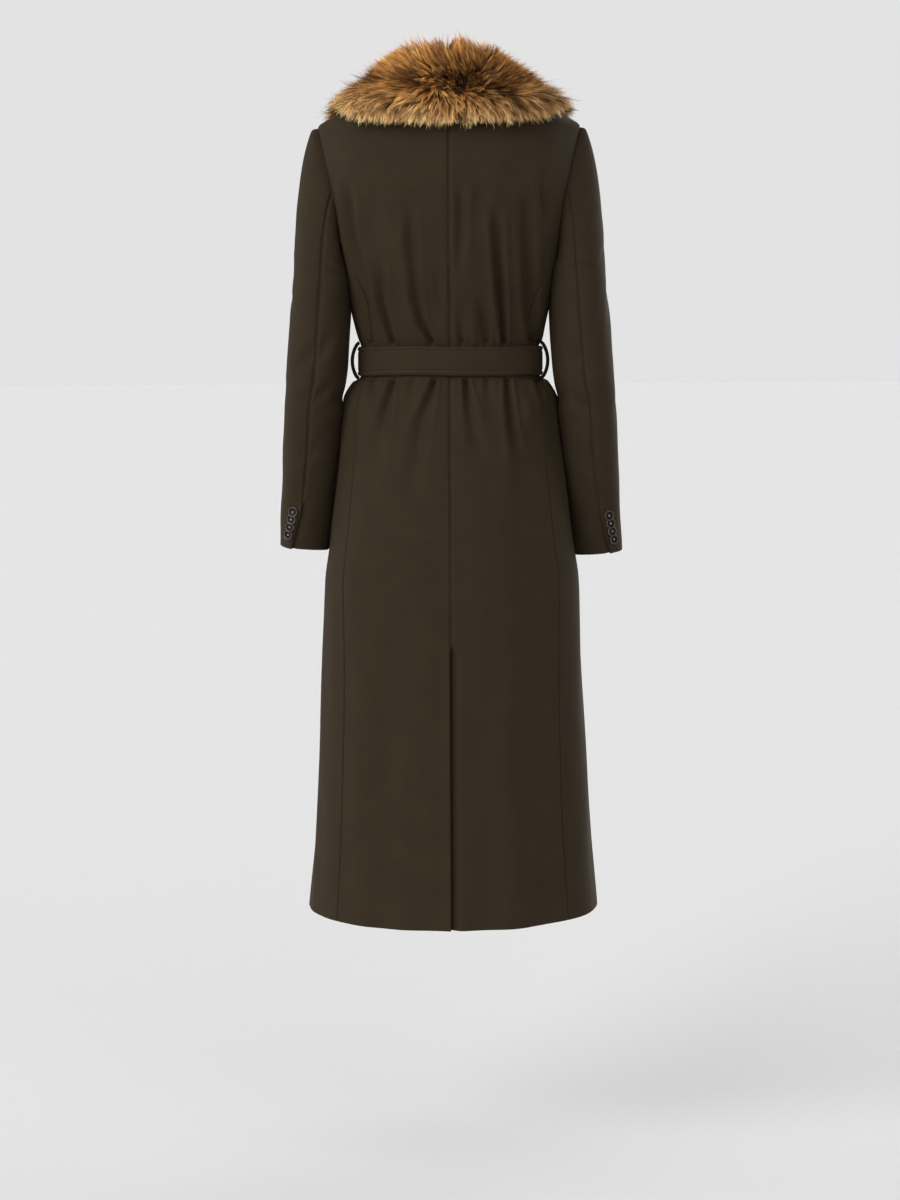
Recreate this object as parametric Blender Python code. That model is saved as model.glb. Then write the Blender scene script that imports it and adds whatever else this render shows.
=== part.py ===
"""Long belted coat with a fur collar, worn and filled out, as hollow cloth panels.

Metres, +Z up. The coat faces -Y, so its back is towards +Y and the wearer's left is +X.
The origin is the middle of the neck opening, level with the inner ends of the shoulder seams.
"""

import math
from bisect import bisect_right

import bmesh
import bpy
from mathutils import Vector

# Cloth and seams
CLOTH = 0.0022
SEAM_GAP = 0.0005
SHOULDER_GAP = 0.0010
REST_GAP = 0.0006
HEM = -1.178
VENT_TOP = -0.778

# Belt
BELT_TOP = -0.364
BELT_FOOT = -0.405
BELT_THICK = 0.0042
BELT_MIDDLE = (BELT_TOP + BELT_FOOT) / 2

# Lapels and front overlap
BREAK = -0.346
NECK_EDGE = 0.0698
OVERLAP_TURN = math.radians(15.0)
OVERLAP_LIFT = 0.0036
LIFT_STARTS = math.radians(48.0)
LIFT_ENDS = math.radians(26.0)

# Armhole
ARMHOLE_MIDDLE = -0.150
ARMHOLE_HALF_HEIGHT = 0.095
ARMHOLE_TURN = math.radians(24.0)
ARMHOLE_DROOP = 0.25
ARMHOLE_GAP = 0.0009
SEAM_START = math.radians(135.0)
SHOULDER_POINT = ARMHOLE_MIDDLE + ARMHOLE_HALF_HEIGHT
SEAM_START_HEIGHT = ARMHOLE_MIDDLE + ARMHOLE_HALF_HEIGHT * math.cos(SEAM_START)
SIDE = math.radians(90.0)
FRONT = math.radians(180.0)

# Sections of the coat's outer surface, from the hem up to the neck.
# height, half width, depth behind and in front of the side line, squareness of the section
BODY = (
    (-1.178, 0.2080, 0.150, 0.148, 2.25),
    (-1.078, 0.1995, 0.146, 0.143, 2.25),
    (-0.960, 0.1925, 0.142, 0.138, 2.25),
    (-0.844, 0.1870, 0.139, 0.134, 2.25),
    (-0.757, 0.1838, 0.137, 0.131, 2.25),
    (-0.699, 0.1820, 0.135, 0.128, 2.25),
    (-0.641, 0.1740, 0.133, 0.125, 2.25),
    (-0.584, 0.1675, 0.129, 0.122, 2.2),
    (-0.512, 0.1598, 0.119, 0.119, 2.2),
    (-0.4405, 0.1535, 0.106, 0.116, 2.2),
    (-0.4145, 0.1400, 0.094, 0.112, 2.2),
    (-0.4065, 0.1268, 0.087, 0.108, 2.2),
    (-0.3625, 0.1268, 0.087, 0.108, 2.2),
    (-0.354, 0.1305, 0.091, 0.112, 2.2),
    (-0.3265, 0.1380, 0.099, 0.121, 2.2),
    (-0.245, 0.1580, 0.117, 0.137, 2.25),
    (-0.150, 0.1790, 0.121, 0.123, 2.2),
    (-0.105, 0.1850, 0.114, 0.105, 2.1),
    (-0.055, 0.1860, 0.099, 0.084, 2.0),
    (-0.020, 0.1130, 0.081, 0.071, 2.0),
    (0.000, 0.0720, 0.067, 0.062, 2.0),
)

# Heights of the panels' rows, from the hem up to the neck
ROWS = (
    HEM, -1.078, -0.960, -0.867, VENT_TOP, -0.699, -0.641, -0.584, -0.525, -0.480, -0.4405, -0.425,
    -0.4145, -0.4065, -0.3625, -0.354, -0.340, -0.318, -0.290, -0.260, -0.237, SEAM_START_HEIGHT,
    -0.185, -0.150, -0.115, -0.085, -0.067, -0.0585, SHOULDER_POINT, -0.037, -0.020, -0.008, 0.0,
)

# Each body panel is made in three lengths, which meet under the belt and level with the top of the vent
BODY_CUTS = (VENT_TOP, BELT_MIDDLE)
BODY_LENGTHS = ("skirt", "hip", "top")

# Seams beside the back and front panels: height, turn of the back one, turn of the front one
SEAMS = (
    (HEM, 50.5, 124.0),
    (-0.935, 52.0, 123.0),
    (-0.664, 55.3, 121.0),
    (-0.530, 56.4, 120.0),
    (-0.415, 58.0, 119.0),
    (-0.384, 60.0, 118.0),
    (-0.340, 57.0, 119.0),
    (-0.297, 54.0, 119.0),
    (-0.257, 60.0, 116.0),
    (SEAM_START_HEIGHT, 70.03, 109.97),
)

# Gathers that the belt makes in the cloth, as valleys: turn, depth, reach above and below the belt
GATHERS = (
    (10.0, 0.0055, 0.045, 0.100),
    (40.0, 0.0075, 0.090, 0.070),
    (55.0, 0.0035, 0.050, 0.060),
    (76.6, 0.0040, 0.050, 0.060),
    (101.4, 0.0045, 0.050, 0.070),
    (129.8, 0.0060, 0.060, 0.090),
    (147.7, 0.0060, 0.050, 0.080),
)
GATHER_HALF_TURN = math.radians(4.6)
GATHER_RISE = 0.012

# Sleeve rings along the arm, from the underarm to the cuff.
# height, middle across, half width, middle in depth, half depth, turn of the back seam
SLEEVE = (
    (-0.265, 0.1800, 0.0418, 0.004, 0.066, 90.0),
    (-0.3265, 0.1845, 0.0432, 0.008, 0.064, 90.0),
    (-0.383, 0.1887, 0.0436, 0.009, 0.061, 90.0),
    (-0.412, 0.1915, 0.0425, 0.008, 0.060, 90.0),
    (-0.4405, 0.1970, 0.0393, 0.005, 0.058, 90.0),
    (-0.512, 0.2025, 0.0378, -0.006, 0.055, 90.0),
    (-0.584, 0.2082, 0.0358, -0.020, 0.052, 88.0),
    (-0.617, 0.2106, 0.0351, -0.027, 0.050, 81.0),
    (-0.651, 0.2130, 0.0345, -0.036, 0.048, 70.0),
)
SLEEVE_TOP = -0.265
SLEEVE_END = -0.651
SLEEVE_GAP = 0.0007
ARM_ROWS = (
    SLEEVE_TOP, -0.300, -0.335, -0.370, -0.405, -0.440, -0.480, -0.520, -0.560, -0.593, -0.616, -0.635,
    SLEEVE_END,
)
CAP_ROWS = (0.0, 0.07, 0.16, 0.28, 0.44, 0.63, 0.82)
SLEEVE_LENGTHS = ("arm", "forearm")    # they meet at the elbow
ELBOW = -0.440
FOREARM_SEAM = math.radians(-105.0)
SLEEVE_CLEAR = 0.0045
ARM_RADIUS = 0.045
CAP_LEAVES = 0.42
CAP_ARRIVES = 0.95

# Cuff buttons
BUTTON_RADIUS = 0.0055
BUTTON_THICK = 0.0026
BUTTON_PITCH = 0.0114
BUTTON_FIRST = 0.023
BUTTON_FROM_SEAM = 0.0146
BUTTON_RIM = 0.25
BUTTONS_A_CUFF = 4

# Fur collar, from the centre back to its front end: station, turn and height where it leaves the neck,
# turn and height of its outer edge, height of its roll above the neck, depth of the pile
COLLAR = (
    (0.00, 0.0, 0.000, 0.0, -0.064, 0.055, 0.032),
    (0.25, 42.0, 0.000, 41.0, -0.057, 0.054, 0.032),
    (0.50, 88.0, 0.000, 86.0, -0.042, 0.047, 0.031),
    (0.70, 130.0, -0.010, 106.0, -0.046, 0.036, 0.031),
    (0.85, 158.0, -0.040, 124.0, -0.056, 0.024, 0.029),
    (1.00, 164.0, -0.078, 141.0, -0.062, 0.010, 0.024),
)
COLLAR_STATIONS = 15
COLLAR_CLEAR = 0.0045


def smooth_table(rows):
    """A function that gives a table's columns at any value of the first one, with no overshoot."""
    rows = sorted(rows)
    keys = [row[0] for row in rows]
    steps = [after - before for before, after in zip(keys, keys[1:])]
    columns = list(zip(*rows))[1:]
    slopes = []
    for column in columns:
        rises = [(column[i + 1] - column[i]) / step for i, step in enumerate(steps)]
        inner = [2 * a * b / (a + b) if a * b > 0 else 0.0 for a, b in zip(rises, rises[1:])]
        slopes.append([rises[0], *inner, rises[-1]])

    def at(key):
        i = min(max(bisect_right(keys, key) - 1, 0), len(steps) - 1)
        t = min(max((key - keys[i]) / steps[i], 0.0), 1.0)
        start, end = (1 + 2 * t) * (1 - t) ** 2, t * t * (3 - 2 * t)
        leave, arrive = t * (1 - t) ** 2 * steps[i], t * t * (t - 1) * steps[i]
        return [
            start * column[i] + end * column[i + 1] + leave * slope[i] + arrive * slope[i + 1]
            for column, slope in zip(columns, slopes)
        ]

    return at


body_at = smooth_table(BODY)
seams_at = smooth_table(SEAMS)
sleeve_at = smooth_table(SLEEVE)
collar_at = smooth_table(COLLAR)


def mix(a, b, t):
    return a + (b - a) * t


def eased(t):
    t = min(max(t, 0.0), 1.0)
    return t * t * (3 - 2 * t)


# The coat's outer surface

def plan_point(turn, height):
    """A point of the outer surface with no gathers; turn goes round from the centre back."""
    half_width, back, front, square = body_at(height)
    across, behind = math.sin(turn), math.cos(turn)
    depth = back if behind > 0 else front
    x = half_width * math.copysign(abs(across) ** (2 / square), across)
    y = depth * math.copysign(abs(behind) ** (2 / square), behind)
    return Vector((x, y, height))


def plan_normal(turn, height):
    nudge, rise = 0.004, 0.002
    height = min(height, -rise)
    along = plan_point(turn + nudge, height) - plan_point(turn - nudge, height)
    up = plan_point(turn, height + rise) - plan_point(turn, height - rise)
    return up.cross(along).normalized()


def gather(turn, height):
    """How far the cloth is drawn in by the gathers above and below the belt."""
    turn = abs(math.remainder(turn, 2 * math.pi))
    inside = 0.0
    for place, depth, above, below in GATHERS:
        beyond, reach = (height - BELT_TOP, above) if height > BELT_TOP else (BELT_FOOT - height, below)
        if beyond <= 0:
            continue
        fade = eased(beyond / GATHER_RISE) * math.exp(-max(0.0, beyond - GATHER_RISE) / reach)
        inside += depth * fade * math.exp(-(((turn - math.radians(place)) / GATHER_HALF_TURN) ** 2))
    return inside


def on_coat(turn, height, out=0.0):
    """A point moved out from the coat's outer surface."""
    return plan_point(turn, height) + plan_normal(turn, height) * (out - gather(turn, height))


def turn_at(across, height):
    """The turn of the front surface at a distance across from the centre front, towards its own side."""
    half_width, _, _, square = body_at(height)
    share = min(abs(across) / half_width, 1.0) ** (square / 2)
    return FRONT - math.copysign(math.asin(share), across)


def turn_step(turn, height, distance):
    """The change of turn that moves a point this far round the coat."""
    nudge = 0.01
    return distance * nudge / (plan_point(turn + nudge, height) - plan_point(turn, height)).length


def armhole(around):
    """Turn and height of the armhole's edge; around goes from the shoulder point by the back."""
    reach = ARMHOLE_TURN * math.sin(around) * (1 - ARMHOLE_DROOP * math.cos(around))
    return SIDE - reach, ARMHOLE_MIDDLE + ARMHOLE_HALF_HEIGHT * math.cos(around)


def armhole_turn(height):
    """Half the armhole's width at a height, as a turn."""
    around = math.acos(min(max((height - ARMHOLE_MIDDLE) / ARMHOLE_HALF_HEIGHT, -1.0), 1.0))
    return SIDE - armhole(around)[0]


def outer_edges(height):
    """Turns of the back and front panels' outer edges: seam, then armhole, then shoulder seam."""
    if height <= SEAM_START_HEIGHT:
        return [math.radians(turn) for turn in seams_at(height)]
    if height < SHOULDER_POINT:
        return SIDE - armhole_turn(height), SIDE + armhole_turn(height)
    return SIDE, SIDE


def edge_gap(height):
    """The gap at a panel's outer edge, wider where the shoulder seam bends the cloth over a ridge."""
    return SHOULDER_GAP if height >= SHOULDER_POINT else SEAM_GAP


def roll_across(height):
    """How far from the centre front the lapel's roll line lies, on its own side."""
    return mix(NECK_EDGE, plan_point(FRONT + OVERLAP_TURN, BREAK).x, min(height / BREAK, 1.0))


def front_edge(height):
    """The turn of a front panel's free edge: the roll line down to the break, then the overlap."""
    if height <= BREAK:
        return FRONT + OVERLAP_TURN
    return turn_at(roll_across(height), height)


def overlap_lift(turn):
    """How far the upper front stands off, where the under front lies below it."""
    return OVERLAP_LIFT * eased((turn - FRONT + LIFT_STARTS) / (LIFT_STARTS - LIFT_ENDS))


# Making the solids

def cloth_material(name, colour, roughness):
    material = bpy.data.materials.new(name)
    material.use_nodes = True
    shader = material.node_tree.nodes["Principled BSDF"]
    shader.inputs["Base Color"].default_value = (*colour, 1.0)
    shader.inputs["Roughness"].default_value = roughness
    shader.inputs["Metallic"].default_value = 0.0
    return material


def place(name, mesh, material):
    thing = bpy.data.objects.new(name, mesh)
    mesh.materials.append(material)
    bpy.data.collections[COLLECTION].objects.link(thing)
    return thing


def grid_faces(shape, rows, flip, closed=False):
    """Quads between rows of points; closed joins each row's end to its start."""
    rows = [[shape.verts.new(point) for point in row] for row in rows]
    faces = []
    for lower, upper in zip(rows, rows[1:]):
        last = len(lower) if closed else len(lower) - 1
        for i in range(last):
            j = (i + 1) % len(lower)
            corners = [lower[i], lower[j], upper[j], upper[i]]
            faces.append(shape.faces.new(corners[::-1] if flip else corners))
    return rows, faces


def wall(name, outer, inner, material, flip):
    """A cloth wall lofted between its outer and inner surfaces and closed round its four edges.

    Both surfaces are worked out, so panels that meet at a seam keep an even gap through the cloth.
    """
    mesh = bpy.data.meshes.new(name)
    shape = bmesh.new()
    outer, _ = grid_faces(shape, outer, flip)
    inner, _ = grid_faces(shape, inner, not flip)

    def border(rows):
        right, left = [row[-1] for row in rows[1:]], [row[0] for row in rows[-2:0:-1]]
        return [*rows[0], *right, *rows[-1][-2::-1], *left]

    outer, inner = border(outer), border(inner)
    for i, corner in enumerate(outer):
        rim = [outer[i - 1], inner[i - 1], inner[i], corner]
        shape.faces.new(rim[::-1] if flip else rim)
    shape.to_mesh(mesh)
    shape.free()
    return place(name, mesh, material)


def closed_loft(name, rings, material, flip):
    """A solid through closed rings of points, with flat ends."""
    mesh = bpy.data.meshes.new(name)
    shape = bmesh.new()
    loops, faces = grid_faces(shape, rings, flip, closed=True)
    first, last = loops[0][::-1], loops[-1]
    for cap in (first, last):
        faces.append(shape.faces.new(cap[::-1] if flip else cap))
    bmesh.ops.triangulate(shape, faces=faces[-2:])
    for face in shape.faces:
        face.smooth = True
    shape.to_mesh(mesh)
    shape.free()
    return place(name, mesh, material)


def sided(point, side):
    return Vector((point.x * side, point.y, point.z))


SIDES = (("left", 1), ("right", -1))


def in_lengths(rows, cuts, gap):
    """Rows divided into runs at the cuts, with a gap at each cut."""
    runs = []
    ends = [rows[0], *cuts, rows[-1]]
    for low, high in zip(ends, ends[1:]):
        low = low + gap / 2 if low in cuts else low
        high = high - gap / 2 if high in cuts else high
        runs.append([low, *[row for row in rows if low + gap < row < high - gap], high])
    return runs


# Body panels

BACK_COLUMNS = 12
SIDE_COLUMNS = 7
FRONT_COLUMNS = 13
ARMHOLE_BLEND = -0.290
BESIDE_EDGE = 0.02
UNDERLAP_COLUMNS = 6
UNDERLAP_START = -0.012
UNDERLAP_END = 0.044


def panel(name, places, side, cloth, thick=CLOTH):
    """A wall of cloth on the coat's surface, from rows of turn, height and distance out."""
    outer = [[sided(on_coat(*place), side) for place in row] for row in places]
    inner = [
        [sided(on_coat(turn, height, out - thick), side) for turn, height, out in row] for row in places
    ]
    return wall(name, outer, inner, cloth, side > 0)


def back_panel(name, side, cloth, heights):
    rows = []
    for height in heights:
        edge = outer_edges(height)[0]
        first = turn_step(0.0, height, SEAM_GAP / 2)
        last = edge - turn_step(edge - BESIDE_EDGE, height, edge_gap(height) / 2)
        row = [(mix(first, last, i / BACK_COLUMNS), height, 0.0) for i in range(BACK_COLUMNS + 1)]
        rows.append(row)
    return panel(name, rows, side, cloth)


def armhole_dip(share):
    """How far the armhole's foot lies below the tops of the side panel's seams, part way between them."""
    wanted = abs(mix(SIDE - armhole(SEAM_START)[0], armhole(SEAM_START)[0] - SIDE, share))
    low, high = SEAM_START, math.pi
    for _ in range(30):
        middle = (low + high) / 2
        low, high = (middle, high) if SIDE - armhole(middle)[0] > wanted else (low, middle)
    return SEAM_START_HEIGHT - armhole(low)[1]


def side_panel(name, side, cloth, heights):
    """From the back seam to the front one; the top follows the lower part of the armhole."""
    rows = []
    for height in [row for row in heights if row <= SEAM_START_HEIGHT]:
        back, front = outer_edges(height)
        gap = turn_step(back, height, SEAM_GAP / 2)
        rise = max(0.0, (height - ARMHOLE_BLEND) / (SEAM_START_HEIGHT - ARMHOLE_BLEND))
        row = []
        for i in range(SIDE_COLUMNS + 1):
            turn = mix(back + gap, front - gap, i / SIDE_COLUMNS)
            row.append((turn, height - rise * armhole_dip(i / SIDE_COLUMNS), 0.0))
        rows.append(row)
    return panel(name, rows, side, cloth)


def front_panel(name, side, cloth, heights, over):
    rows = []
    for height in heights:
        edge = outer_edges(height)[1]
        first = edge + turn_step(edge + BESIDE_EDGE, height, edge_gap(height) / 2)
        last = front_edge(height)
        row = []
        for i in range(FRONT_COLUMNS + 1):
            turn = mix(first, last, i / FRONT_COLUMNS)
            row.append((turn, height, overlap_lift(turn) * over))
        rows.append(row)
    return panel(name, rows, side, cloth)


def vent_underlap(name, cloth):
    """The strip of the right back that lies under the left one, behind the open vent."""
    inset = CLOTH + REST_GAP
    rows = []
    for height in [row for row in ROWS if row <= VENT_TOP]:
        row = []
        for i in range(UNDERLAP_COLUMNS + 1):
            across = mix(UNDERLAP_START, UNDERLAP_END, i / UNDERLAP_COLUMNS)
            row.append((turn_step(0.0, height, across), height, -inset))
        rows.append(row)
    return panel(name, rows, 1, cloth)


# Lapels

LAPEL_FOOT = BREAK + 0.010
UNDER_LAPEL_FOOT = -0.264
LAPEL_TOP = -0.094
LAPEL_ROWS = 10
LAPEL_COLUMNS = 7
# Share of the way up the roll line: width of the lapel, rise of its outer edge
LAPEL = (
    (0.00, 0.006, 0.000),
    (0.20, 0.036, 0.004),
    (0.55, 0.070, 0.010),
    (0.85, 0.088, 0.018),
    (1.00, 0.092, 0.023),
)
lapel_at = smooth_table(LAPEL)
LAPEL_ROLL = 0.0030
LAPEL_BOW = 0.0035
LAPEL_BOW_FULLNESS = 0.7
LAPEL_GAPS = (3.0 * REST_GAP, 1.3 * REST_GAP)


def lapel(name, side, cloth, over):
    """The front's upper part, folded back on it along the roll line."""
    foot = LAPEL_FOOT if over else UNDER_LAPEL_FOOT
    rows = []
    for step in range(LAPEL_ROWS + 1):
        height = mix(foot, LAPEL_TOP, step / LAPEL_ROWS)
        share = (height - LAPEL_FOOT) / (LAPEL_TOP - LAPEL_FOOT)
        width, rise = lapel_at(share)
        roll = roll_across(height) - LAPEL_ROLL
        if not over:
            hidden = max(0.0, LAPEL_ROLL * 3 - roll_across(height) - roll)
            roll, width = roll + hidden, width - hidden
        row = []
        for i in range(LAPEL_COLUMNS + 1):
            part = i / LAPEL_COLUMNS
            at = height + rise * part
            turn = turn_at(roll + width * part, at)
            bow = LAPEL_BOW * math.sin(math.pi * part) ** LAPEL_BOW_FULLNESS
            lift = CLOTH + mix(*LAPEL_GAPS, share) + bow
            row.append((turn, at, lift + overlap_lift(turn) * over))
        rows.append(row[::-1])
    return panel(name, rows, side, cloth)


# Sleeves

def torso_across(depth, height):
    """Half the body's width at a depth and height, or nothing beside the body."""
    half_width, back, front, square = body_at(height)
    share = abs(depth) / (back if depth > 0 else front)
    return half_width * (1 - share**square) ** (1 / square) if share < 1 else 0.0


def sleeve_ring(height, around):
    """A point of the sleeve's outer surface; around goes from its outer side by the back."""
    middle, half_width, centre, half_depth, _ = sleeve_at(height)
    rise = 0.004
    below, above = sleeve_at(height - rise), sleeve_at(height + rise)
    arm = Vector((above[0] - below[0], above[2] - below[2], 2 * rise)).normalized()
    backward = Vector((0.0, 1.0, 0.0))
    backward = (backward - arm * backward.dot(arm)).normalized()
    outward = backward.cross(arm)
    point = Vector((middle, centre, height))
    point += outward * half_width * math.cos(around) + backward * half_depth * math.sin(around)
    return point, arm


def sleeve_point(row, around):
    """Rows 0 to 1 run over the sleeve's cap from the armhole, and 1 to 2 down the arm to the cuff."""
    if row >= 1:
        point, _ = sleeve_ring(mix(SLEEVE_TOP, SLEEVE_END, row - 1), around)
        clear = SLEEVE_CLEAR
    else:
        turn, height = armhole(around)
        start = plan_point(turn, height)
        inward = Vector((0.0, -start.y, ARMHOLE_MIDDLE - height)).normalized()
        start += inward * ARMHOLE_GAP
        end, arm = sleeve_ring(SLEEVE_TOP, around)
        across, behind = math.cos(around), math.sin(around)
        leave = Vector((0.65 + 0.35 * across, 0.5 * behind, -0.58 + 0.43 * across)).normalized()
        span = (end - start).length
        a, b = (1 + 2 * row) * (1 - row) ** 2, row * row * (3 - 2 * row)
        c, d = row * (1 - row) ** 2 * span * CAP_LEAVES, row * row * (row - 1) * span * CAP_ARRIVES
        point = start * a + end * b + leave * c - arm * d
        clear = mix(SEAM_GAP, SLEEVE_CLEAR, min(row * 1.5, 1.0))
    point.x = max(point.x, torso_across(point.y, point.z) + clear)
    return point


def sleeve_normal(row, around):
    nudge = 0.01
    start = max(row - nudge, 0.0)
    round_arm = sleeve_point(row, around + nudge) - sleeve_point(row, around - nudge)
    down_arm = sleeve_point(start + 2 * nudge, around) - sleeve_point(start, around)
    return down_arm.cross(round_arm).normalized()


def sleeve_seam(row):
    if row < 1:
        return math.radians(90.0)
    return math.radians(sleeve_at(mix(SLEEVE_TOP, SLEEVE_END, row - 1))[4])


def arm_row(height):
    return 1 + (height - SLEEVE_TOP) / (SLEEVE_END - SLEEVE_TOP)


def sleeve_half(name, side, cloth, rows, columns, upper):
    """A length of the upper or under sleeve, between the back seam and the forearm seam."""
    outer, inner = [], []
    gap = SLEEVE_GAP / 2 / ARM_RADIUS
    for row in rows:
        seam = sleeve_seam(row)
        facing = max(row, CAP_ROWS[2])
        first, last = (FOREARM_SEAM, seam) if upper else (seam, FOREARM_SEAM + 2 * math.pi)
        turns = [mix(first + gap, last - gap, i / columns) for i in range(columns + 1)]
        points = [sleeve_point(row, turn) for turn in turns]
        insides = [point - sleeve_normal(facing, turn) * CLOTH for point, turn in zip(points, turns)]
        outer.append([sided(point, side) for point in points])
        inner.append([sided(point, side) for point in insides])
    return wall(name, outer, inner, cloth, side > 0)


UPPER_COLUMNS = 12
UNDER_COLUMNS = 10


def cuff_button(name, side, number, horn):
    """A round button with a raised rim, sewn beside the back seam near the cuff."""
    arm_length = SLEEVE_TOP - SLEEVE_END
    row = 2 - (BUTTON_FIRST + number * BUTTON_PITCH) / arm_length
    around = sleeve_seam(row) - BUTTON_FROM_SEAM / ARM_RADIUS
    here, out = sleeve_point(row, around), sided(sleeve_normal(row, around), side)
    mesh = bpy.data.meshes.new(name)
    shape = bmesh.new()
    bmesh.ops.create_cone(
        shape, cap_ends=True, segments=16,
        radius1=BUTTON_RADIUS, radius2=BUTTON_RADIUS, depth=BUTTON_THICK,
    )
    top = max(shape.faces, key=lambda face: face.calc_center_median().z)
    rim, dish = BUTTON_RADIUS * BUTTON_RIM, BUTTON_THICK * BUTTON_RIM
    bmesh.ops.inset_region(shape, faces=[top], thickness=rim, depth=-dish)
    shape.to_mesh(mesh)
    shape.free()
    button = place(name, mesh, horn)
    button.rotation_mode = "QUATERNION"
    button.rotation_quaternion = out.to_track_quat("Z", "Y")
    button.location = sided(here, side) + out * (BUTTON_THICK / 2 + REST_GAP)
    return button


# Fur collar

# The collar's outer side: share of the way down the fall, share of the pile's depth
FUR_SIDE = ((0.16, 1.28), (0.45, 1.06), (0.72, 0.92), (0.92, 0.64), (1.05, 0.26))
# The underside, back up from the edge: share of the way down the fall, distance further out
UNDER_SIDE = ((0.94, 0.0), (0.60, 0.0), (0.25, 0.002))
STAND_IN = 0.002
STAND_OUT = 0.006
ROLL_OUT = (0.018, 0.028)
HOLLOW_OUT = 0.013
FRONT_BASE_GAP = 4.0 * REST_GAP
COLLAR_TIP = 0.72


def collar_section(station):
    """A closed section of the collar: up the stand, over the roll, down the fur, back underneath."""
    neck_turn, neck_height, edge_turn, edge_height, roll_up, pile = collar_at(station)
    neck_turn, edge_turn = math.radians(neck_turn), math.radians(edge_turn)

    def fall(share, out):
        turn, height = mix(neck_turn, edge_turn, share), mix(neck_height, edge_height, share)
        lift = COLLAR_CLEAR + overlap_lift(turn) + out
        return plan_point(turn, height) + plan_normal(turn, height) * lift

    out = plan_normal(neck_turn, neck_height)
    neck = plan_point(neck_turn, neck_height) + out * overlap_lift(neck_turn)
    up = Vector((0.0, 0.0, 1.0))
    level = Vector((out.x, out.y, 0.0)).normalized()
    in_front = eased((station - 0.5) / 0.2)
    inner = [
        neck + up.lerp(out, in_front) * mix(REST_GAP, FRONT_BASE_GAP, in_front),
        neck + up * roll_up * 0.55 - level * STAND_IN * (1 - station),
        neck + up * roll_up * 0.93 + level * STAND_OUT,
        neck + up * roll_up + level * mix(*ROLL_OUT, station),
    ]
    fur = [fall(share, pile * depth) for share, depth in FUR_SIDE]
    under = [fall(share, out) for share, out in UNDER_SIDE]
    hollow = [neck + level * HOLLOW_OUT + up * roll_up * 0.30]
    return inner + fur + under + hollow


def collar_half(name, side, fur):
    rings = []
    for i in range(COLLAR_STATIONS + 1):
        station = i / COLLAR_STATIONS
        ring = [sided(point, side) for point in collar_section(station)]
        if i == 0:
            ring = [point + Vector((side * SEAM_GAP / 2, 0.0, 0.0)) for point in ring]
        if i == COLLAR_STATIONS:
            middle = sum(ring, Vector()) / len(ring)
            ring = [middle.lerp(point, COLLAR_TIP) for point in ring]
        rings.append(ring)
    return closed_loft(name, rings, fur, side > 0)


# Belt

BELT_COLUMNS = 60
BELT_GAP_AT_KNOT = math.radians(3.0)
BELT_SEAT = 1.5 * REST_GAP
KNOT_HALF_WIDTH = 0.024
KNOT_THICK = 0.017
KNOT_SIDES = 14
KNOT_FLATNESS = 2.0
# Height of each ring of the knot, share of its width, share of its thickness
KNOT = (
    (BELT_TOP + 0.004, 0.55, 0.35),
    (BELT_TOP - 0.003, 0.86, 0.85),
    (BELT_MIDDLE, 1.0, 1.0),
    (BELT_FOOT + 0.003, 0.90, 0.85),
    (BELT_FOOT - 0.005, 0.70, 0.35),
)
TAIL_WIDTH = 0.040
TAIL_NECK = 0.55
TAIL_TOP = BELT_FOOT - 0.0075
TAIL_SEAT = OVERLAP_LIFT + 1.3 * REST_GAP
TAIL_ROWS = 9
TAIL_COLUMNS = 3
# Side of each free end, its length, how far its foot leans out
BELT_ENDS = (
    ("left", 1, 0.270, 0.022),
    ("right", -1, 0.300, 0.010),
)


def belt_out(turn):
    """How far the belt's inner face lies from the coat, the same on both sides."""
    return BELT_SEAT + overlap_lift(abs(math.remainder(turn, 2 * math.pi)))


def belt_band(name, cloth):
    outer, inner = [], []
    end = FRONT - BELT_GAP_AT_KNOT
    for height in (BELT_FOOT, BELT_TOP):
        for rows, thick in ((outer, BELT_THICK), (inner, 0.0)):
            row = []
            for i in range(BELT_COLUMNS + 1):
                turn = mix(-end, end, i / BELT_COLUMNS)
                out = plan_normal(turn, BELT_MIDDLE) * (belt_out(turn) + thick)
                point = plan_point(turn, BELT_MIDDLE) + out
                row.append(Vector((point.x, point.y, height)))
            rows.append(row)
    return wall(name, outer, inner, cloth, True)


def belt_knot(name, cloth):
    """The tie at the centre front: one end passed over the band and pulled down."""
    front = plan_point(FRONT, BELT_MIDDLE).y - belt_out(FRONT) - BELT_THICK - REST_GAP
    rings = []
    for height, width, depth in KNOT:
        ring = []
        for i in range(KNOT_SIDES):
            angle = 2 * math.pi * i / KNOT_SIDES
            x = KNOT_HALF_WIDTH * width * math.cos(angle)
            y = front - KNOT_THICK * depth * (0.5 + 0.5 * math.sin(angle)) ** KNOT_FLATNESS
            ring.append(Vector((x, y, height)))
        rings.append(ring)
    return closed_loft(name, rings, cloth, False)


def belt_tail(name, side, cloth, length, lean):
    """A free end of the belt, hanging from the knot in front of the skirt."""
    outer, inner = [], []
    for step in range(TAIL_ROWS + 1):
        share = (1 - step / TAIL_ROWS) ** 1.6
        height = TAIL_TOP - length * share
        half = TAIL_WIDTH / 2 * mix(TAIL_NECK, 1.0, min(share * 5, 1.0))
        middle = side * (half + REST_GAP + lean * share)
        for rows, thick in ((outer, BELT_THICK), (inner, 0.0)):
            row = []
            for i in range(TAIL_COLUMNS + 1):
                turn = turn_at(middle + mix(-half, half, i / TAIL_COLUMNS), height)
                level = plan_normal(turn, height) * Vector((1.0, 1.0, 0.0))
                row.append(plan_point(turn, height) + level.normalized() * (TAIL_SEAT + thick))
            rows.append(row)
    return wall(name, outer, inner, cloth, False)


# Belt loops

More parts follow.
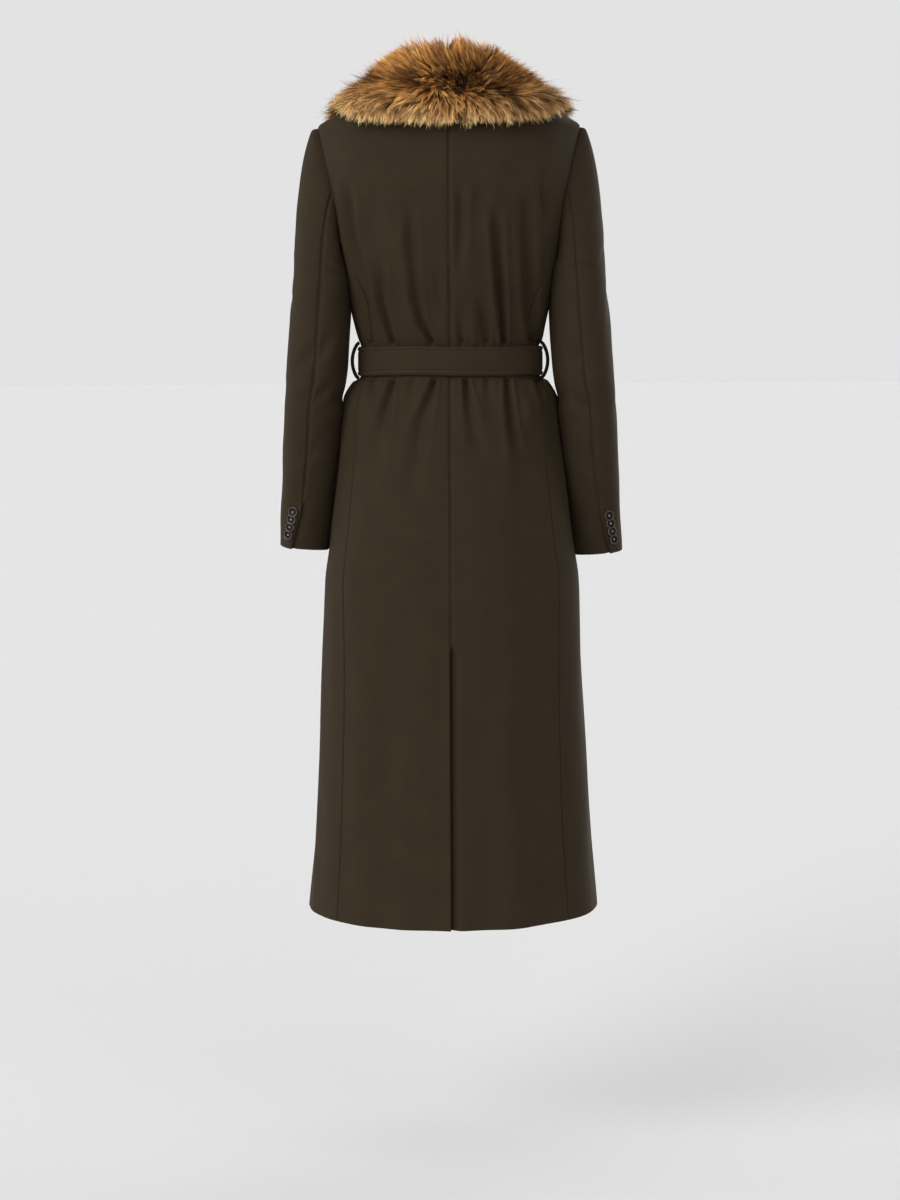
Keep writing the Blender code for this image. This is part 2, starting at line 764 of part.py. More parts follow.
LOOP_WIDTH = 0.010
LOOP_THICK = 0.0034
LOOP_OUT = 0.0040
LOOP_SEAT = 0.0002
LOOP_TOP = BELT_TOP + 0.012
LOOP_FOOT = BELT_FOOT - 0.010
LOOP_ROWS = 10


def belt_loop(name, side, cloth):
    """A strap that leaves the side above the belt, stands off it and returns below."""
    outer, inner = [], []
    for i in range(LOOP_ROWS + 1):
        share = i / LOOP_ROWS
        height = mix(LOOP_TOP, LOOP_FOOT, share)
        base = mix(plan_point(SIDE, LOOP_TOP).x, plan_point(SIDE, LOOP_FOOT).x, share) + LOOP_SEAT
        bow = LOOP_OUT * math.sin(math.pi * share) ** 0.5
        lean = (LOOP_THICK / 2) * math.cos(math.pi * share)
        outer.append((base + bow + LOOP_THICK, height + lean))
        inner.append((base + bow, height - lean * 0.4))
    rings = []
    for depth in (-LOOP_WIDTH / 2, LOOP_WIDTH / 2):
        rings.append([Vector((x * side, depth, z)) for x, z in [*outer, *inner[::-1]]])
    return closed_loft(name, rings, cloth, side < 0)


# The whole coat

COLLECTION = "fur_trimmed_coat"


def main():
    for thing in list(bpy.data.objects):
        bpy.data.objects.remove(thing)
    bpy.context.scene.collection.children.link(bpy.data.collections.new(COLLECTION))
    cloth = cloth_material("olive wool coating", (0.040, 0.029, 0.018), 0.9)
    fur = cloth_material("tan long-haired fur", (0.27, 0.13, 0.045), 0.8)
    horn = cloth_material("dark horn button", (0.012, 0.009, 0.008), 0.3)
    sleeve_rows = [*CAP_ROWS, *[arm_row(height) for height in ARM_ROWS]]
    row_gap = SEAM_GAP / (SLEEVE_TOP - SLEEVE_END)
    for word, side in SIDES:
        over = word == "right"
        for length, heights in zip(BODY_LENGTHS, in_lengths(ROWS, BODY_CUTS, SEAM_GAP)):
            back_panel(f"back_{word}_{length}", side, cloth, heights)
            side_panel(f"side_{word}_{length}", side, cloth, heights)
            front_panel(f"front_{word}_{length}", side, cloth, heights, over)
        lapel(f"lapel_{word}", side, cloth, over)
        for length, rows in zip(SLEEVE_LENGTHS, in_lengths(sleeve_rows, [arm_row(ELBOW)], row_gap)):
            sleeve_half(f"upper_sleeve_{word}_{length}", side, cloth, rows, UPPER_COLUMNS, True)
            sleeve_half(f"under_sleeve_{word}_{length}", side, cloth, rows, UNDER_COLUMNS, False)
        collar_half(f"fur_collar_{word}", side, fur)
        belt_loop(f"belt_loop_{word}", side, cloth)
        for number in range(BUTTONS_A_CUFF):
            cuff_button(f"cuff_button_{word}_{number + 1}", side, number, horn)
    vent_underlap("vent_underlap", cloth)
    belt_band("belt", cloth)
    belt_knot("belt_knot", cloth)
    for word, side, length, lean in BELT_ENDS:
        belt_tail(f"belt_end_{word}", side, cloth, length, lean)


main()
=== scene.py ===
import math

import bmesh
import bpy
import numpy as np
from mathutils import Matrix, Vector
from mathutils.kdtree import KDTree


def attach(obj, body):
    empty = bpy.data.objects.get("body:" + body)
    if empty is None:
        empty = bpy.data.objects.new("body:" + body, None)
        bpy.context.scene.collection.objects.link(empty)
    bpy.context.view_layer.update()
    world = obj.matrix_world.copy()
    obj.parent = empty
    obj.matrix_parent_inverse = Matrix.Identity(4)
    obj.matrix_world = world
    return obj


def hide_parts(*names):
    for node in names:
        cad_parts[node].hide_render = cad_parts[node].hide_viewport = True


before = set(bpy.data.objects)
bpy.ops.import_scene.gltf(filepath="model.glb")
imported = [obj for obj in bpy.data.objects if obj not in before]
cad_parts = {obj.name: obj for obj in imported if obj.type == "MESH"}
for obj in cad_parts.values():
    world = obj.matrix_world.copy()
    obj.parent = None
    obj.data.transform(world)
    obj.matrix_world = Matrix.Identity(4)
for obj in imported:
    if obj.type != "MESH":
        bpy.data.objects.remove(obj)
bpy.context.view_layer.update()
bpy.ops.object.select_all(action="DESELECT")
print("frame loaded,", len(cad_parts), "nodes")

mm = 0.001
side90 = math.radians(90)
front180 = math.radians(180)
sides = (("left", 1), ("right", -1))


# small tools

def linear(hexColour):
    # sRGB hex to linear colour
    parts = [int(hexColour[i:i + 2], 16) / 255 for i in (1, 3, 5)]
    return tuple(p / 12.92 if p <= 0.04045 else ((p + 0.055) / 1.055) ** 2.4 for p in parts)


def mix(a, b, t):
    return a + (b - a) * t


def eased(t):
    t = np.clip(t, 0.0, 1.0)
    return t * t * (3 - 2 * t)


def bell(distance, half):
    # 1 at no distance, about a third at the half width
    return np.exp(-(distance / half) ** 2)


def signedPower(part, power):
    return np.sign(part) * np.abs(part) ** power


def together(*parts):
    return np.stack(np.broadcast_arrays(*parts), -1)


def mirrored(side):
    return np.array([side, 1.0, 1.0])


def unit(v):
    return v / np.maximum(np.linalg.norm(v, axis=-1, keepdims=True), 1e-12)


def lengthAlong(points):
    # distance run along a line of points
    steps = np.linalg.norm(np.diff(points, axis=0), axis=1)
    return np.concatenate([[0.0], np.cumsum(steps)])


def curveBetween(start, end, leave, arrive, t):
    # a smooth curve with these slopes at its ends
    value = start * (1 + 2 * t) * (1 - t) ** 2 + end * t * t * (3 - 2 * t)
    return value + leave * t * (1 - t) ** 2 + arrive * t * t * (t - 1)


def smoothTable(rows):
    # columns at any value of the first one, on curves that don't overshoot
    rows = np.array(sorted(rows), float)
    keys, columns = rows[:, 0], rows[:, 1:]
    steps = np.diff(keys)[:, None]
    rises = np.diff(columns, axis=0) / steps
    before, after = rises[:-1], rises[1:]
    same = before * after > 0
    inner = np.where(same, 2 * before * after / np.where(same, before + after, 1.0), 0.0)
    slopes = np.vstack([rises[:1], inner, rises[-1:]])

    def at(key):
        key = np.asarray(key, float)
        i = np.clip(np.searchsorted(keys, key, side="right") - 1, 0, len(keys) - 2)
        step = steps[i]
        t = np.clip((key - keys[i])[..., None] / step, 0.0, 1.0)
        value = curveBetween(columns[i], columns[i + 1], step * slopes[i], step * slopes[i + 1], t)
        return np.moveaxis(value, -1, 0)

    return at


def ripple(points, length, seed, waves=7):
    # smooth uneven values of about -1 to 1, with waves of about this length
    rng = np.random.default_rng(seed)
    total = np.zeros(points.shape[:-1])
    for _ in range(waves):
        direction = unit(rng.normal(size=points.shape[-1]))
        stretch = rng.uniform(0.6, 1.7)
        total = total + np.sin(points @ direction * (2 * math.pi * stretch / length) + rng.uniform(0, 6.28))
    return total / math.sqrt(waves)


foldRidge = {"share": 0.30, "away": 1.9, "half": 0.8}     # beside a fold, as shares of its depth and width


def foldDepth(folds, across, height):
    # how far folds draw the cloth in; each is a line of (across, height, depth, half width) in mm
    total = np.zeros(np.broadcast(across, height).shape)
    for line in folds:
        line = np.array(line, float) * mm
        nearest = np.full(total.shape, 1e9)
        depth, width = np.zeros(total.shape), np.ones(total.shape)
        for a, b in zip(line, line[1:]):
            run = b[:2] - a[:2]
            t = ((across - a[0]) * run[0] + (height - a[1]) * run[1]) / (run @ run)
            t = np.clip(t, 0.0, 1.0)
            away = np.hypot(across - a[0] - run[0] * t, height - a[1] - run[1] * t)
            closer = away < nearest
            nearest = np.where(closer, away, nearest)
            depth = np.where(closer, mix(a[2], b[2], t), depth)
            width = np.where(closer, mix(a[3], b[3], t), width)
        share = nearest / width
        # the trough, with a low ridge on either side where its cloth comes from
        ridge = foldRidge["share"] * bell(share - foldRidge["away"], foldRidge["half"])
        total = total + depth * (bell(share, 1.0) - ridge)
    return total


# the coat's form, with the same sizes as its solids

coat = {
    "cloth": 2.2 * mm,
    "hem": -1.178,
    "ventTop": -0.778,
    "beltTop": -0.364,
    "beltFoot": -0.405,
    "lapelBreak": -0.346,
    "neckEdge": 0.0698,
    "overlapTurn": math.radians(15),
    "overlapLift": 3.6 * mm,
    "liftStarts": math.radians(48),
    "liftEnds": math.radians(26),
    "armholeMiddle": -0.150,
    "armholeHalfHeight": 0.095,
    "armholeTurn": math.radians(24),
    "armholeDroop": 0.25,
    "seamStart": math.radians(135),
}
coat["beltMiddle"] = (coat["beltTop"] + coat["beltFoot"]) / 2
coat["seamStartHeight"] = coat["armholeMiddle"] + coat["armholeHalfHeight"] * math.cos(coat["seamStart"])

# height, half width, depth behind and in front of the side line, squareness
bodyAt = smoothTable([
    (-1.178, 0.2080, 0.150, 0.148, 2.25),
    (-1.078, 0.1995, 0.146, 0.143, 2.25),
    (-0.960, 0.1925, 0.142, 0.138, 2.25),
    (-0.844, 0.1870, 0.139, 0.134, 2.25),
    (-0.757, 0.1838, 0.137, 0.131, 2.25),
    (-0.699, 0.1820, 0.135, 0.128, 2.25),
    (-0.641, 0.1740, 0.133, 0.125, 2.25),
    (-0.584, 0.1675, 0.129, 0.122, 2.2),
    (-0.512, 0.1598, 0.119, 0.119, 2.2),
    (-0.4405, 0.1535, 0.106, 0.116, 2.2),
    (-0.4145, 0.1400, 0.094, 0.112, 2.2),
    (-0.4065, 0.1268, 0.087, 0.108, 2.2),
    (-0.3625, 0.1268, 0.087, 0.108, 2.2),
    (-0.354, 0.1305, 0.091, 0.112, 2.2),
    (-0.3265, 0.1380, 0.099, 0.121, 2.2),
    (-0.245, 0.1580, 0.117, 0.137, 2.25),
    (-0.150, 0.1790, 0.121, 0.123, 2.2),
    (-0.105, 0.1850, 0.114, 0.105, 2.1),
    (-0.055, 0.1860, 0.099, 0.084, 2.0),
    (-0.020, 0.1130, 0.081, 0.071, 2.0),
    (0.000, 0.0720, 0.067, 0.062, 2.0),
])

# height, turn of the side-back seam, turn of the side-front seam
seamsAt = smoothTable([
    (coat["hem"], 50.5, 124),
    (-0.935, 52, 123),
    (-0.664, 55.3, 121),
    (-0.530, 56.4, 120),
    (-0.415, 58, 119),
    (-0.384, 60, 118),
    (-0.340, 57, 119),
    (-0.297, 54, 119),
    (-0.257, 60, 116),
    (coat["seamStartHeight"], 70.03, 109.97),
])


def planPoint(turn, height):
    # the outer surface with no folds; turn goes round from the centre back, positive to the left
    turn, height = np.broadcast_arrays(np.asarray(turn, float), np.asarray(height, float))
    halfWidth, back, front, square = bodyAt(height)
    across, behind = np.sin(turn), np.cos(turn)
    x = halfWidth * signedPower(across, 2 / square)
    y = np.where(behind > 0, back, front) * signedPower(behind, 2 / square)
    return together(x, y, height)


def planNormal(turn, height):
    nudge, rise = 0.004, 0.002
    height = np.minimum(height, -rise)
    along = planPoint(turn + nudge, height) - planPoint(turn - nudge, height)
    up = planPoint(turn, height + rise) - planPoint(turn, height - rise)
    return unit(np.cross(up, along))


def turnAt(across, height):
    # turn of the front surface at a distance across from the centre front
    halfWidth, _, _, square = bodyAt(height)
    share = np.minimum(np.abs(across) / halfWidth, 1.0) ** (square / 2)
    return front180 - np.sign(across) * np.arcsin(share)


def armhole(around):
    reach = coat["armholeTurn"] * np.sin(around) * (1 - coat["armholeDroop"] * np.cos(around))
    return side90 - reach, coat["armholeMiddle"] + coat["armholeHalfHeight"] * np.cos(around)


def outerEdges(height):
    # outer edges of the back and front panels: seam, then armhole, then shoulder seam
    back, front = np.radians(seamsAt(height))
    share = np.clip((height - coat["armholeMiddle"]) / coat["armholeHalfHeight"], -1.0, 1.0)
    open_ = side90 - armhole(np.arccos(share))[0]
    onSeam = height <= coat["seamStartHeight"]
    return np.where(onSeam, back, side90 - open_), np.where(onSeam, front, side90 + open_)


def rollAcross(height):
    foot = planPoint(front180 + coat["overlapTurn"], coat["lapelBreak"])[0]
    return mix(coat["neckEdge"], foot, np.minimum(height / coat["lapelBreak"], 1.0))


def frontEdge(height):
    rolled = turnAt(rollAcross(height), height)
    return np.where(height <= coat["lapelBreak"], front180 + coat["overlapTurn"], rolled)


def overlapLift(turn):
    span = coat["liftStarts"] - coat["liftEnds"]
    return coat["overlapLift"] * eased((np.abs(turn) - front180 + coat["liftStarts"]) / span)


# folds in the body: (mm to the left of the centre, mm height, mm deep, mm half width)

backFolds = [
    # above the belt
    [(144, -130, 0, 8), (140, -165, 7, 6.5), (136, -215, 9, 6), (126, -258, 7, 6.5), (112, -325, 0, 7)],
    [(55, -160, 0, 8), (53, -205, 5, 7), (50, -260, 6.5, 6.5), (47, -300, 7.5, 6), (40, -330, 8.5, 5),
     (24, -361, 9, 3.6)],
    [(99, -235, 0, 8), (98, -265, 6, 6.5), (96, -300, 8, 5.5), (88, -335, 8.5, 4.5), (80, -361, 8, 3.4)],
    [(-65, -165, 0, 8), (-66, -200, 7, 6.5), (-68, -245, 11, 6), (-71, -300, 12, 5.5), (-76, -361, 10, 3.6)],
    [(-107, -155, 0, 9), (-108, -195, 8, 8), (-109, -250, 11, 7.5), (-113, -310, 12, 7.5),
     (-119, -361, 9, 6)],
    [(-129, -118, 0, 7), (-131, -150, 6, 6), (-133, -182, 4.5, 6), (-133, -205, 0, 6)],
    [(-16, -130, 0, 8), (-17, -160, 4.5, 6.5), (-16, -210, 5, 6.5), (-13, -270, 0, 7)],
    [(-45, -285, 0, 8), (-48, -325, 5, 6), (-52, -361, 6, 3.6)],
    [(-12, -305, 0, 6), (-16, -361, 6, 3.4)],
    [(124, -270, 0, 8), (118, -320, 5.5, 6.5), (112, -361, 5.5, 4)],
    [(100, -120, 0, 12), (102, -180, 3, 11), (104, -230, 0, 10)],
    [(-46, -110, 0, 12), (-44, -160, 3, 11), (-46, -200, 0, 11)],
    [(16, -230, 0, 9), (14, -280, 3, 8), (10, -330, 0, 7)],
    [(72, -175, 0, 9), (71, -215, -3, 9), (68, -255, 0, 9)],
    [(-30, -300, 0, 7), (-32, -335, -4, 6), (-34, -361, -3, 5)],
    # below the belt
    [(80, -408, 8.5, 3.4), (88, -438, 7.5, 5.5), (98, -478, 5, 8), (108, -525, 2, 11), (114, -570, 0, 12)],
    [(21, -408, 8.5, 3.4), (29, -435, 7.5, 5.5), (40, -465, 6, 8), (50, -535, 3, 11), (54, -590, 0, 13)],
    [(-22, -408, 8, 3.4), (-26, -445, 6.5, 5.5), (-33, -480, 4, 8), (-42, -525, 0, 11)],
    [(-80, -408, 9, 3.4), (-82, -440, 9, 5), (-86, -480, 9, 5.5), (-92, -505, 7, 7), (-104, -540, 3, 11),
     (-112, -600, 0, 13)],
    [(-122, -408, 7.5, 4.2), (-140, -448, 6, 8), (-153, -530, 0, 12)],
    [(108, -408, 6.5, 3.6), (113, -440, 3.4, 6.5), (115, -480, 0, 9)],
    [(52, -408, 3.4, 4), (56, -440, 1.6, 9), (60, -480, 0, 11)],
    [(-52, -408, 3.8, 4), (-56, -445, 1.8, 9), (-60, -490, 0, 11)],
    [(-106, -428, 0, 10), (-110, -458, -4, 9), (-113, -492, 0, 10)],
    # long soft folds down the skirt
    [(74, -540, 0, 26), (84, -760, 4.2, 26), (92, -960, 5.4, 28), (96, -1180, 5, 30)],
    [(12, -560, 0, 20), (16, -690, 2.6, 22), (20, -790, 0, 22)],
    [(-112, -440, 0, 20), (-118, -520, 4.5, 24), (-122, -700, 7.5, 24), (-128, -900, 8, 26),
     (-134, -1180, 7, 28)],
    [(-36, -500, 0, 16), (-40, -600, -2.5, 18), (-42, -740, -2.5, 18), (-44, -860, 0, 18)],
    [(-50, -900, 0, 20), (-52, -1060, 2.4, 22), (-52, -1180, 3, 24)],
    [(44, -980, 0, 20), (42, -1180, 3.4, 24)],
    [(136, -620, 0, 16), (146, -860, 3, 18), (152, -1180, 3, 20)],
]

frontFolds = [
    [(60, -408, 5.5, 3.4), (70, -450, 3, 7), (78, -510, 0, 11)],
    [(-64, -408, 5, 3.4), (-70, -445, 3, 7), (-74, -500, 0, 11)],
    [(-98, -408, 5, 3.6), (-108, -450, 2.4, 8), (-116, -500, 0, 10)],
    [(100, -408, 4.5, 3.6), (112, -455, 2.4, 8), (120, -520, 0, 10)],
    [(84, -361, 5, 3.4), (90, -320, 3, 6), (96, -270, 0, 9)],
    [(-86, -361, 5.5, 3.4), (-92, -315, 3, 6), (-100, -262, 0, 9)],
    [(58, -361, 4, 3.4), (60, -330, 2, 6), (62, -300, 0, 8)],
    [(92, -600, 0, 26), (104, -820, 3, 28), (112, -1180, 3.2, 30)],
    [(-86, -560, 0, 26), (-96, -800, 3.4, 28), (-104, -1180, 3.4, 30)],
    [(-30, -640, 0, 22), (-36, -900, 2.2, 24), (-40, -1180, 2.6, 26)],
]

# gathers under the arms: turn, depth mm, reach above and below the belt in mm
sideGathers = [(72, 3.6, 40, 50), (84, 2.6, 30, 44), (97, 3.8, 46, 60), (108, 3.0, 36, 52)]

draping = {
    "backToFront": 60 * mm,      # the depth over which the back's folds give way to the front's
    "gatherStarts": 12 * mm,     # from the belt
    "gatherHalf": 0.065,         # turn
    "gatherLean": 0.02,
    "beltHalf": 20.5 * mm,       # nothing shows under the belt itself
    "beltFade": 4 * mm,
    "swell": 0.9 * mm,           # soft unevenness all over
    "swellLength": 75 * mm,
    "swellTaller": 0.35,
}


def drape(turn, height):
    # distance out of the plain surface that the listed folds give
    point = planPoint(turn, height)
    behind = eased(0.5 + point[..., 1] / draping["backToFront"])
    drawn = foldDepth(backFolds, point[..., 0], height) * behind
    drawn = drawn + foldDepth(frontFolds, point[..., 0], height) * (1 - behind)
    over, under = height - coat["beltTop"], coat["beltFoot"] - height
    beyond = np.maximum(over, under)
    for place, depth, above, below in sideGathers:
        reach = np.where(over > under, above, below) * mm
        fade = np.exp(-np.maximum(0.0, beyond - draping["gatherStarts"]) / reach)
        fade = fade * eased(beyond / draping["gatherStarts"])
        lean = math.radians(place) + np.sign(turn) * draping["gatherLean"]
        drawn = drawn + depth * mm * fade * bell(np.abs(turn) - lean, draping["gatherHalf"])
    outside = eased((np.abs(height - coat["beltMiddle"]) - draping["beltHalf"]) / draping["beltFade"])
    surface = together(point[..., 0], point[..., 1], height * draping["swellTaller"])
    swell = draping["swell"] * ripple(surface, draping["swellLength"], 5)
    return (swell - drawn) * outside


# materials

def addNode(tree, kind, settings=None, links=None):
    # a node, with its settings and sockets set, and links into it from other sockets
    node = tree.nodes.new(kind)
    for key, value in (settings or {}).items():
        if isinstance(key, str) and hasattr(node, key):
            setattr(node, key, value)
        else:
            node.inputs[key].default_value = value
    for key, socket in (links or {}).items():
        tree.links.new(socket, node.inputs[key])
    return node


def rampColours(tree, factor, stops):
    ramp = addNode(tree, "ShaderNodeValToRGB", links={"Fac": factor})
    elements = ramp.color_ramp.elements
    for element, (place, colour) in zip(elements, (stops[0], stops[-1])):
        element.position, element.color = place, (*linear(colour), 1.0)
    for place, colour in stops[1:-1]:
        elements.new(place).color = (*linear(colour), 1.0)
    return ramp.outputs["Color"]


def clothPlace(tree):
    return addNode(tree, "ShaderNodeUVMap", {"uv_map": "cloth"}).outputs["UV"]


def objectPlace(tree):
    return addNode(tree, "ShaderNodeTexCoord").outputs["Object"]


def mapped(tree, place, scale=(1.0, 1.0, 1.0), slant=0):
    settings = {"Scale": scale, "Rotation": (0.0, 0.0, math.radians(slant))}
    return addNode(tree, "ShaderNodeMapping", settings, {"Vector": place}).outputs["Vector"]


def noise(tree, place, size, detail=2.0, roughness=0.5, distortion=0.0):
    # uneven values with features of about this size
    settings = {"Scale": 1 / size, "Detail": detail, "Roughness": roughness, "Distortion": distortion}
    return addNode(tree, "ShaderNodeTexNoise", settings, {"Vector": place}).outputs["Fac"]


def twillLines(tree, spacing, slant, uneven=None):
    settings = {"Scale": 1 / (spacing * 6.3), **(uneven or {})}
    place = mapped(tree, clothPlace(tree), slant=slant)
    return addNode(tree, "ShaderNodeTexWave", settings, {"Vector": place}).outputs["Fac"]


def weighted(tree, *parts):
    # the sum of values, each times its weight
    before = {}
    for value, weight in parts:
        settings = {"operation": "MULTIPLY_ADD", 1: weight, 2: 0.0}
        total = addNode(tree, "ShaderNodeMath", settings, {0: value, **before}).outputs[0]
        before = {2: total}
    return total


def makeMaterial(name, values, paint):
    # paint gives the colour and, for a rough surface, the height, strength and depth of its bumps
    material = bpy.data.materials.new(name)
    material.use_nodes = True
    tree = material.node_tree
    shader = tree.nodes["Principled BSDF"]
    colour, *bumps = paint(tree)
    tree.links.new(colour, shader.inputs["Base Color"])
    for height, strength, deep in bumps:
        bump = addNode(tree, "ShaderNodeBump", {"Strength": strength, "Distance": deep}, {"Height": height})
        tree.links.new(bump.outputs["Normal"], shader.inputs["Normal"])
    for socket, value in values.items():
        shader.inputs[socket].default_value = value
    return material


woolLook = {
    "colours": [(0.25, "#231a10"), (0.5, "#292013"), (0.75, "#2f2517")],
    "fibreAcross": 0.5 * mm,     # real nap fibres are 0.02 mm; drawn coarser so that they show
    "fibreAlong": 3.2 * mm,
    "cloudy": 38 * mm,           # uneven brushing of the nap
    "fleck": 2.4 * mm,
    "twill": 1.5 * mm,           # real twill lines are about 0.9 mm apart
    "surface": {"Roughness": 0.86, "Specular IOR Level": 0.15, "Sheen Weight": 0.10, "Sheen Roughness": 0.45,
                "Sheen Tint": (*linear("#6e5539"), 1.0)},
}


def paintWool(tree):
    # milled and brushed: the felted nap hides the twill, scatters light and pales at grazing angles
    cloth = clothPlace(tree)
    fibre = mapped(tree, cloth, (1 / woolLook["fibreAcross"], 1 / woolLook["fibreAlong"], 1.0))
    fibre = noise(tree, fibre, 1.0, 3.0, 0.6)
    cloudy = noise(tree, cloth, woolLook["cloudy"], 4.0, 0.55)
    fleck = noise(tree, cloth, woolLook["fleck"], 2.0, 0.7)
    twill = twillLines(tree, woolLook["twill"], 58, {"Distortion": 1.6, "Detail": 2.0, "Detail Scale": 2.0})
    tone = weighted(tree, (fibre, 0.34), (cloudy, 0.36), (fleck, 0.30))
    height = weighted(tree, (fibre, 1.0), (twill, 0.25), (fleck, 0.5))
    return rampColours(tree, tone, woolLook["colours"]), (height, 0.35, 0.35 * mm)


liningLook = {
    "colours": [(0.3, "#1d1812"), (0.7, "#28211a")],
    "twill": 0.9 * mm,           # drawn coarser than the real 0.4 mm so that it shows
    "surface": {"Roughness": 0.38},
}


def paintLining(tree):
    # smooth slanting lines with a soft satin shine
    twill = twillLines(tree, liningLook["twill"], -45)
    return rampColours(tree, twill, liningLook["colours"]), (twill, 0.2, 0.1 * mm)


hornLook = {
    "streak": 2.2 * mm,
    "colours": [(0.3, "#080403"), (0.62, "#100806"), (0.85, "#20130d")],
    "surface": {"Roughness": 0.36, "IOR": 1.55, "Specular IOR Level": 0.12},
    # pale colours for the rim: a painted highlight
    "rimHighlightColours": [(0.3, "#2b201b"), (0.58, "#4b3a31"), (0.8, "#80685b")],
    "rimSurface": {"Roughness": 0.22, "IOR": 1.55, "Specular IOR Level": 0.5},
}


def paintHorn(colours):
    # nearly black, with faint brown streaks; the turned rim gets a pale painted highlight in its colour, and
    # shines
    def paint(tree):
        place = mapped(tree, objectPlace(tree), (1.0, 1.0, 0.25))
        streak = noise(tree, place, hornLook["streak"], 4.0, distortion=0.8)
        return rampColours(tree, streak, colours), (streak, 0.08, 0.1 * mm)

    return paint


def threadMaterial(name, dark, pale, ply):
    # twisted polyester sewing thread: two plies that catch the light in turn
    def paint(tree):
        twist = noise(tree, objectPlace(tree), ply)
        return rampColours(tree, twist, [(0.3, dark), (0.7, pale)]), (twist, 0.3, 0.1 * mm)

    return makeMaterial(name, {"Roughness": 0.5}, paint)


def paintFur(tree):
    # long guard hair: each hair goes from a dark root to a pale tip, partly its own colour and partly painted
    # shade deep in the pile, with a silky gloss
    tone = addNode(tree, "ShaderNodeAttribute", {"attribute_name": "hairTone"}).outputs["Color"]
    vary = noise(tree, objectPlace(tree), 1.6 * mm)
    vary = addNode(tree, "ShaderNodeMapRange", {"To Min": 0.78, "To Max": 1.22}, {"Value": vary})
    links = {0: tone, "Scale": vary.outputs["Result"]}
    return [addNode(tree, "ShaderNodeVectorMath", {"operation": "SCALE"}, links).outputs[0]]


underfurLook = {"colours": [(0.3, "#180d06"), (0.55, "#2b190b"), (0.8, "#402711")], "lock": 3.0 * mm}


def paintUnderfur(tree):
    # matted close to the skin: soft and streaky, and dark, partly its own colour and partly painted shade
    # showing in the gaps between locks
    lock = noise(tree, mapped(tree, clothPlace(tree), (1.0, 0.3, 1.0)), underfurLook["lock"], 4.0)
    return rampColours(tree, lock, underfurLook["colours"]), (lock, 0.9, 1.5 * mm)


furSurface = {"Roughness": 0.55, "Specular IOR Level": 0.14, "Sheen Weight": 0.05,
              "Sheen Tint": (*linear("#d09a5c"), 1.0)}
wool = makeMaterial("brushed wool melton", woolLook["surface"], paintWool)
lining = makeMaterial("viscose twill lining", liningLook["surface"], paintLining)
horn = makeMaterial("polished dark horn", hornLook["surface"], paintHorn(hornLook["colours"]))
hornRimHighlight = makeMaterial("horn rim with painted highlight", hornLook["rimSurface"], paintHorn(hornLook["rimHighlightColours"]))
fur = makeMaterial("long-haired fur", furSurface, paintFur)
underfur = makeMaterial("matted underwool", {"Roughness": 0.9}, paintUnderfur)
tonalThread = threadMaterial("tonal sewing thread", "#231c14", "#3a3023", 0.5 * mm)
buttonThread = threadMaterial("pale button thread", "#73695e", "#9c9185", 0.3 * mm)
print("materials made")


# making cloth

def meshPiece(name, points, faces, materials, faceMaterials=None, uv=None, sharp=50):
    # a smooth-shaded piece from points and faces; uv holds a pair for each point
    mesh = bpy.data.meshes.new(name)
    mesh.from_pydata([tuple(p) for p in np.asarray(points, float).reshape(-1, 3)], [], faces)
    for material in materials:
        mesh.materials.append(material)
    if faceMaterials is not None:
        mesh.polygons.foreach_set("material_index", np.asarray(faceMaterials, np.int32))
    if uv is not None:
        layer = mesh.uv_layers.new(name="cloth")
        corners = np.zeros(len(mesh.loops), np.int32)
        mesh.loops.foreach_get("vertex_index", corners)
        layer.data.foreach_set("uv", np.asarray(uv, np.float32).reshape(-1, 2)[corners].ravel())
    mesh.shade_smooth()
    mesh.set_sharp_from_angle(angle=math.radians(sharp))
    mesh.validate()
    piece = bpy.data.objects.new(name, mesh)
    bpy.context.scene.collection.objects.link(piece)
    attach(piece, "root")
    return piece


def tubeFaces(rows, columns, first=0, flip=False):
    # the faces of a tube of closed rings, with both its ends
    ids = first + np.arange(rows * columns).reshape(rows, columns)
    after = np.roll(ids, -1, axis=1)
    faces = np.stack([a.ravel() for a in (ids[:-1], after[:-1], after[1:], ids[1:])], 1).tolist()
    faces += [ids[0][::-1].tolist(), ids[-1].tolist()]
    return [face[::-1] for face in faces] if flip else faces


def chosen(count, every):
    picked = list(range(0, count, every))
    if picked[-1] != count - 1:
        picked.append(count - 1)
    return picked


def lowest(lift, reach):
    # the least value near each place of a grid
    for axis in (0, 1):
        padded = np.concatenate([np.repeat(lift.take([0], axis), reach, axis), lift,
                                 np.repeat(lift.take([-1], axis), reach, axis)], axis)
        count = lift.shape[axis]
        lift = np.min([padded.take(range(k, k + count), axis) for k in range(2 * reach + 1)], 0)
    return lift


